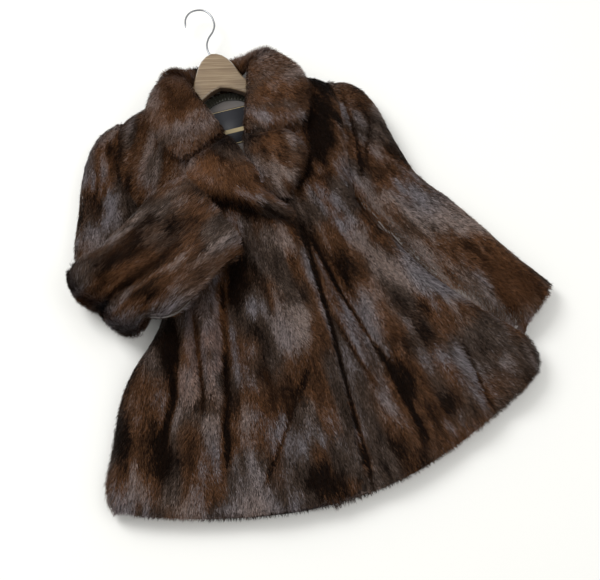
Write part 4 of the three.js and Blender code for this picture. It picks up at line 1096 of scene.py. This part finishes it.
left_lapel_tones = straight_stripes(10, 170, 5, -100, LEFT_LAPEL_SHADE_AND_SHEEN, reds=LEFT_LAPEL_REDS)
right_lapel_hair = hair(
    "lapel_right_hair",
    right_lapel,
    LAPEL_LIE,
    right_lapel_tones,
    LAPEL_DENSITY,
    seed=29,
    length=COLLAR_HAIR,
)
left_lapel_hair = hair(
    "lapel_left_hair",
    left_lapel,
    LAPEL_LIE,
    left_lapel_tones,
    LAPEL_DENSITY,
    seed=31,
    length=COLLAR_HAIR,
)


# The lining at the back neck: plain brown-grey satin, sewn inside the back. It is seen between the two
# sides of the collar.
lining = smooth_copy("lining_back", "lining_back_cloth", 0, satin)


# The neck trim: a narrow band of dark satin, gathered into small pleats and sewn along the neck seam,
# where the lining ends.
TRIM_ROUTE = [(-82.5, 277), (-62.5, 291), (-36.5, 297), (-10.5, 292), (11.5, 278)]
TRIM_LOW, TRIM_HIGH = 11.3, 13.2
PLEATS, PLEAT_STEPS = 16, 16
PLEAT_HEIGHT, PLEAT_SINK, PLEAT_SWAY = 2.2, 1.4, 0.25
TRIM_ROWS = [(8, 0.3), (7, 0.8), (3, 1), (-3, 1), (-7, 0.8), (-8, 0.3)]  # how far aside, how full the pleats


def between_grids(name, upper, lower, material):
    """A closed mesh between two grids of points with the same rows and columns."""
    rows, columns = upper.shape[:2]
    at = np.arange(2 * rows * columns).reshape(2, rows, columns)
    top, low = at
    faces = []
    for i in range(rows - 1):
        for j in range(columns - 1):
            faces.append((top[i, j], top[i, j + 1], top[i + 1, j + 1], top[i + 1, j]))
            faces.append((low[i, j], low[i + 1, j], low[i + 1, j + 1], low[i, j + 1]))
    rim = [*at[:, 0, :].T, *at[:, 1:, -1].T, *at[:, -1, -2::-1].T, *at[:, -2:0:-1, 0].T]
    for (a, b), (c, d) in zip(rim, rim[1:] + rim[:1]):
        faces.append((a, b, d, c))
    points = np.concatenate([upper.reshape(-1, 3), lower.reshape(-1, 3)])
    return add_mesh(name, points, [tuple(int(k) for k in f) for f in faces], material)


trim_satin = surface_material("neck_trim_satin", (0.04, 0.038, 0.028), 0.32)
trim_line = line_through(TRIM_ROUTE, PLEATS * PLEAT_STEPS + 1)
trim_run = unit(np.gradient(trim_line, axis=0))
trim_across = np.column_stack([-trim_run[:, 1], trim_run[:, 0]])
in_pleat = np.arange(len(trim_line)) * np.pi / PLEAT_STEPS % np.pi
pleat = PLEAT_HEIGHT * np.sin(in_pleat) - PLEAT_SINK
trim_upper, trim_lower = [], []
for aside, fullness in TRIM_ROWS:
    plan = trim_line + trim_across * (aside + PLEAT_SWAY * pleat[:, None])
    trim_upper.append(np.column_stack([plan, TRIM_HIGH + pleat * fullness]) * MM)
    trim_lower.append(np.column_stack([plan, np.full(len(plan), TRIM_LOW)]) * MM)
trim = between_grids("neck_trim_pleats", np.array(trim_upper), np.array(trim_lower), trim_satin)
trim.data.shade_smooth()
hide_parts("neck_trim")
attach(trim, "root")


# The label: a woven patch of very dark blue cloth, sewn flat on the lining below the neck trim. Gold
# thread is woven in as an edge and one plain bar.
GOLD_BARS = [  # the middle's x and y, the width and the length
    (-36.5, 267, 68, 1.2),
    (-36.5, 191, 68, 1.2),
    (-70, 229, 1.2, 77),
    (-3, 229, 1.2, 77),
    (-36.5, 219, 60, 9),
]
GOLD_HEIGHT = 0.01255
label_cloth = surface_material("label_weave", (0.03, 0.031, 0.037), 0.6)
gold_thread = surface_material("label_gold", (0.42, 0.33, 0.17), 0.45)
label = smooth_copy("label", "label_patch", 0, label_cloth)
gold_points = [
    ((x + across * wide / 2) * MM, (y + along * tall / 2) * MM, GOLD_HEIGHT)
    for x, y, wide, tall in GOLD_BARS
    for across, along in CORNERS
]
gold_faces = [tuple(range(k, k + 4)) for k in range(0, len(gold_points), 4)]
gold = add_mesh("label_gold_weave", gold_points, gold_faces, gold_thread)
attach(gold, "root")
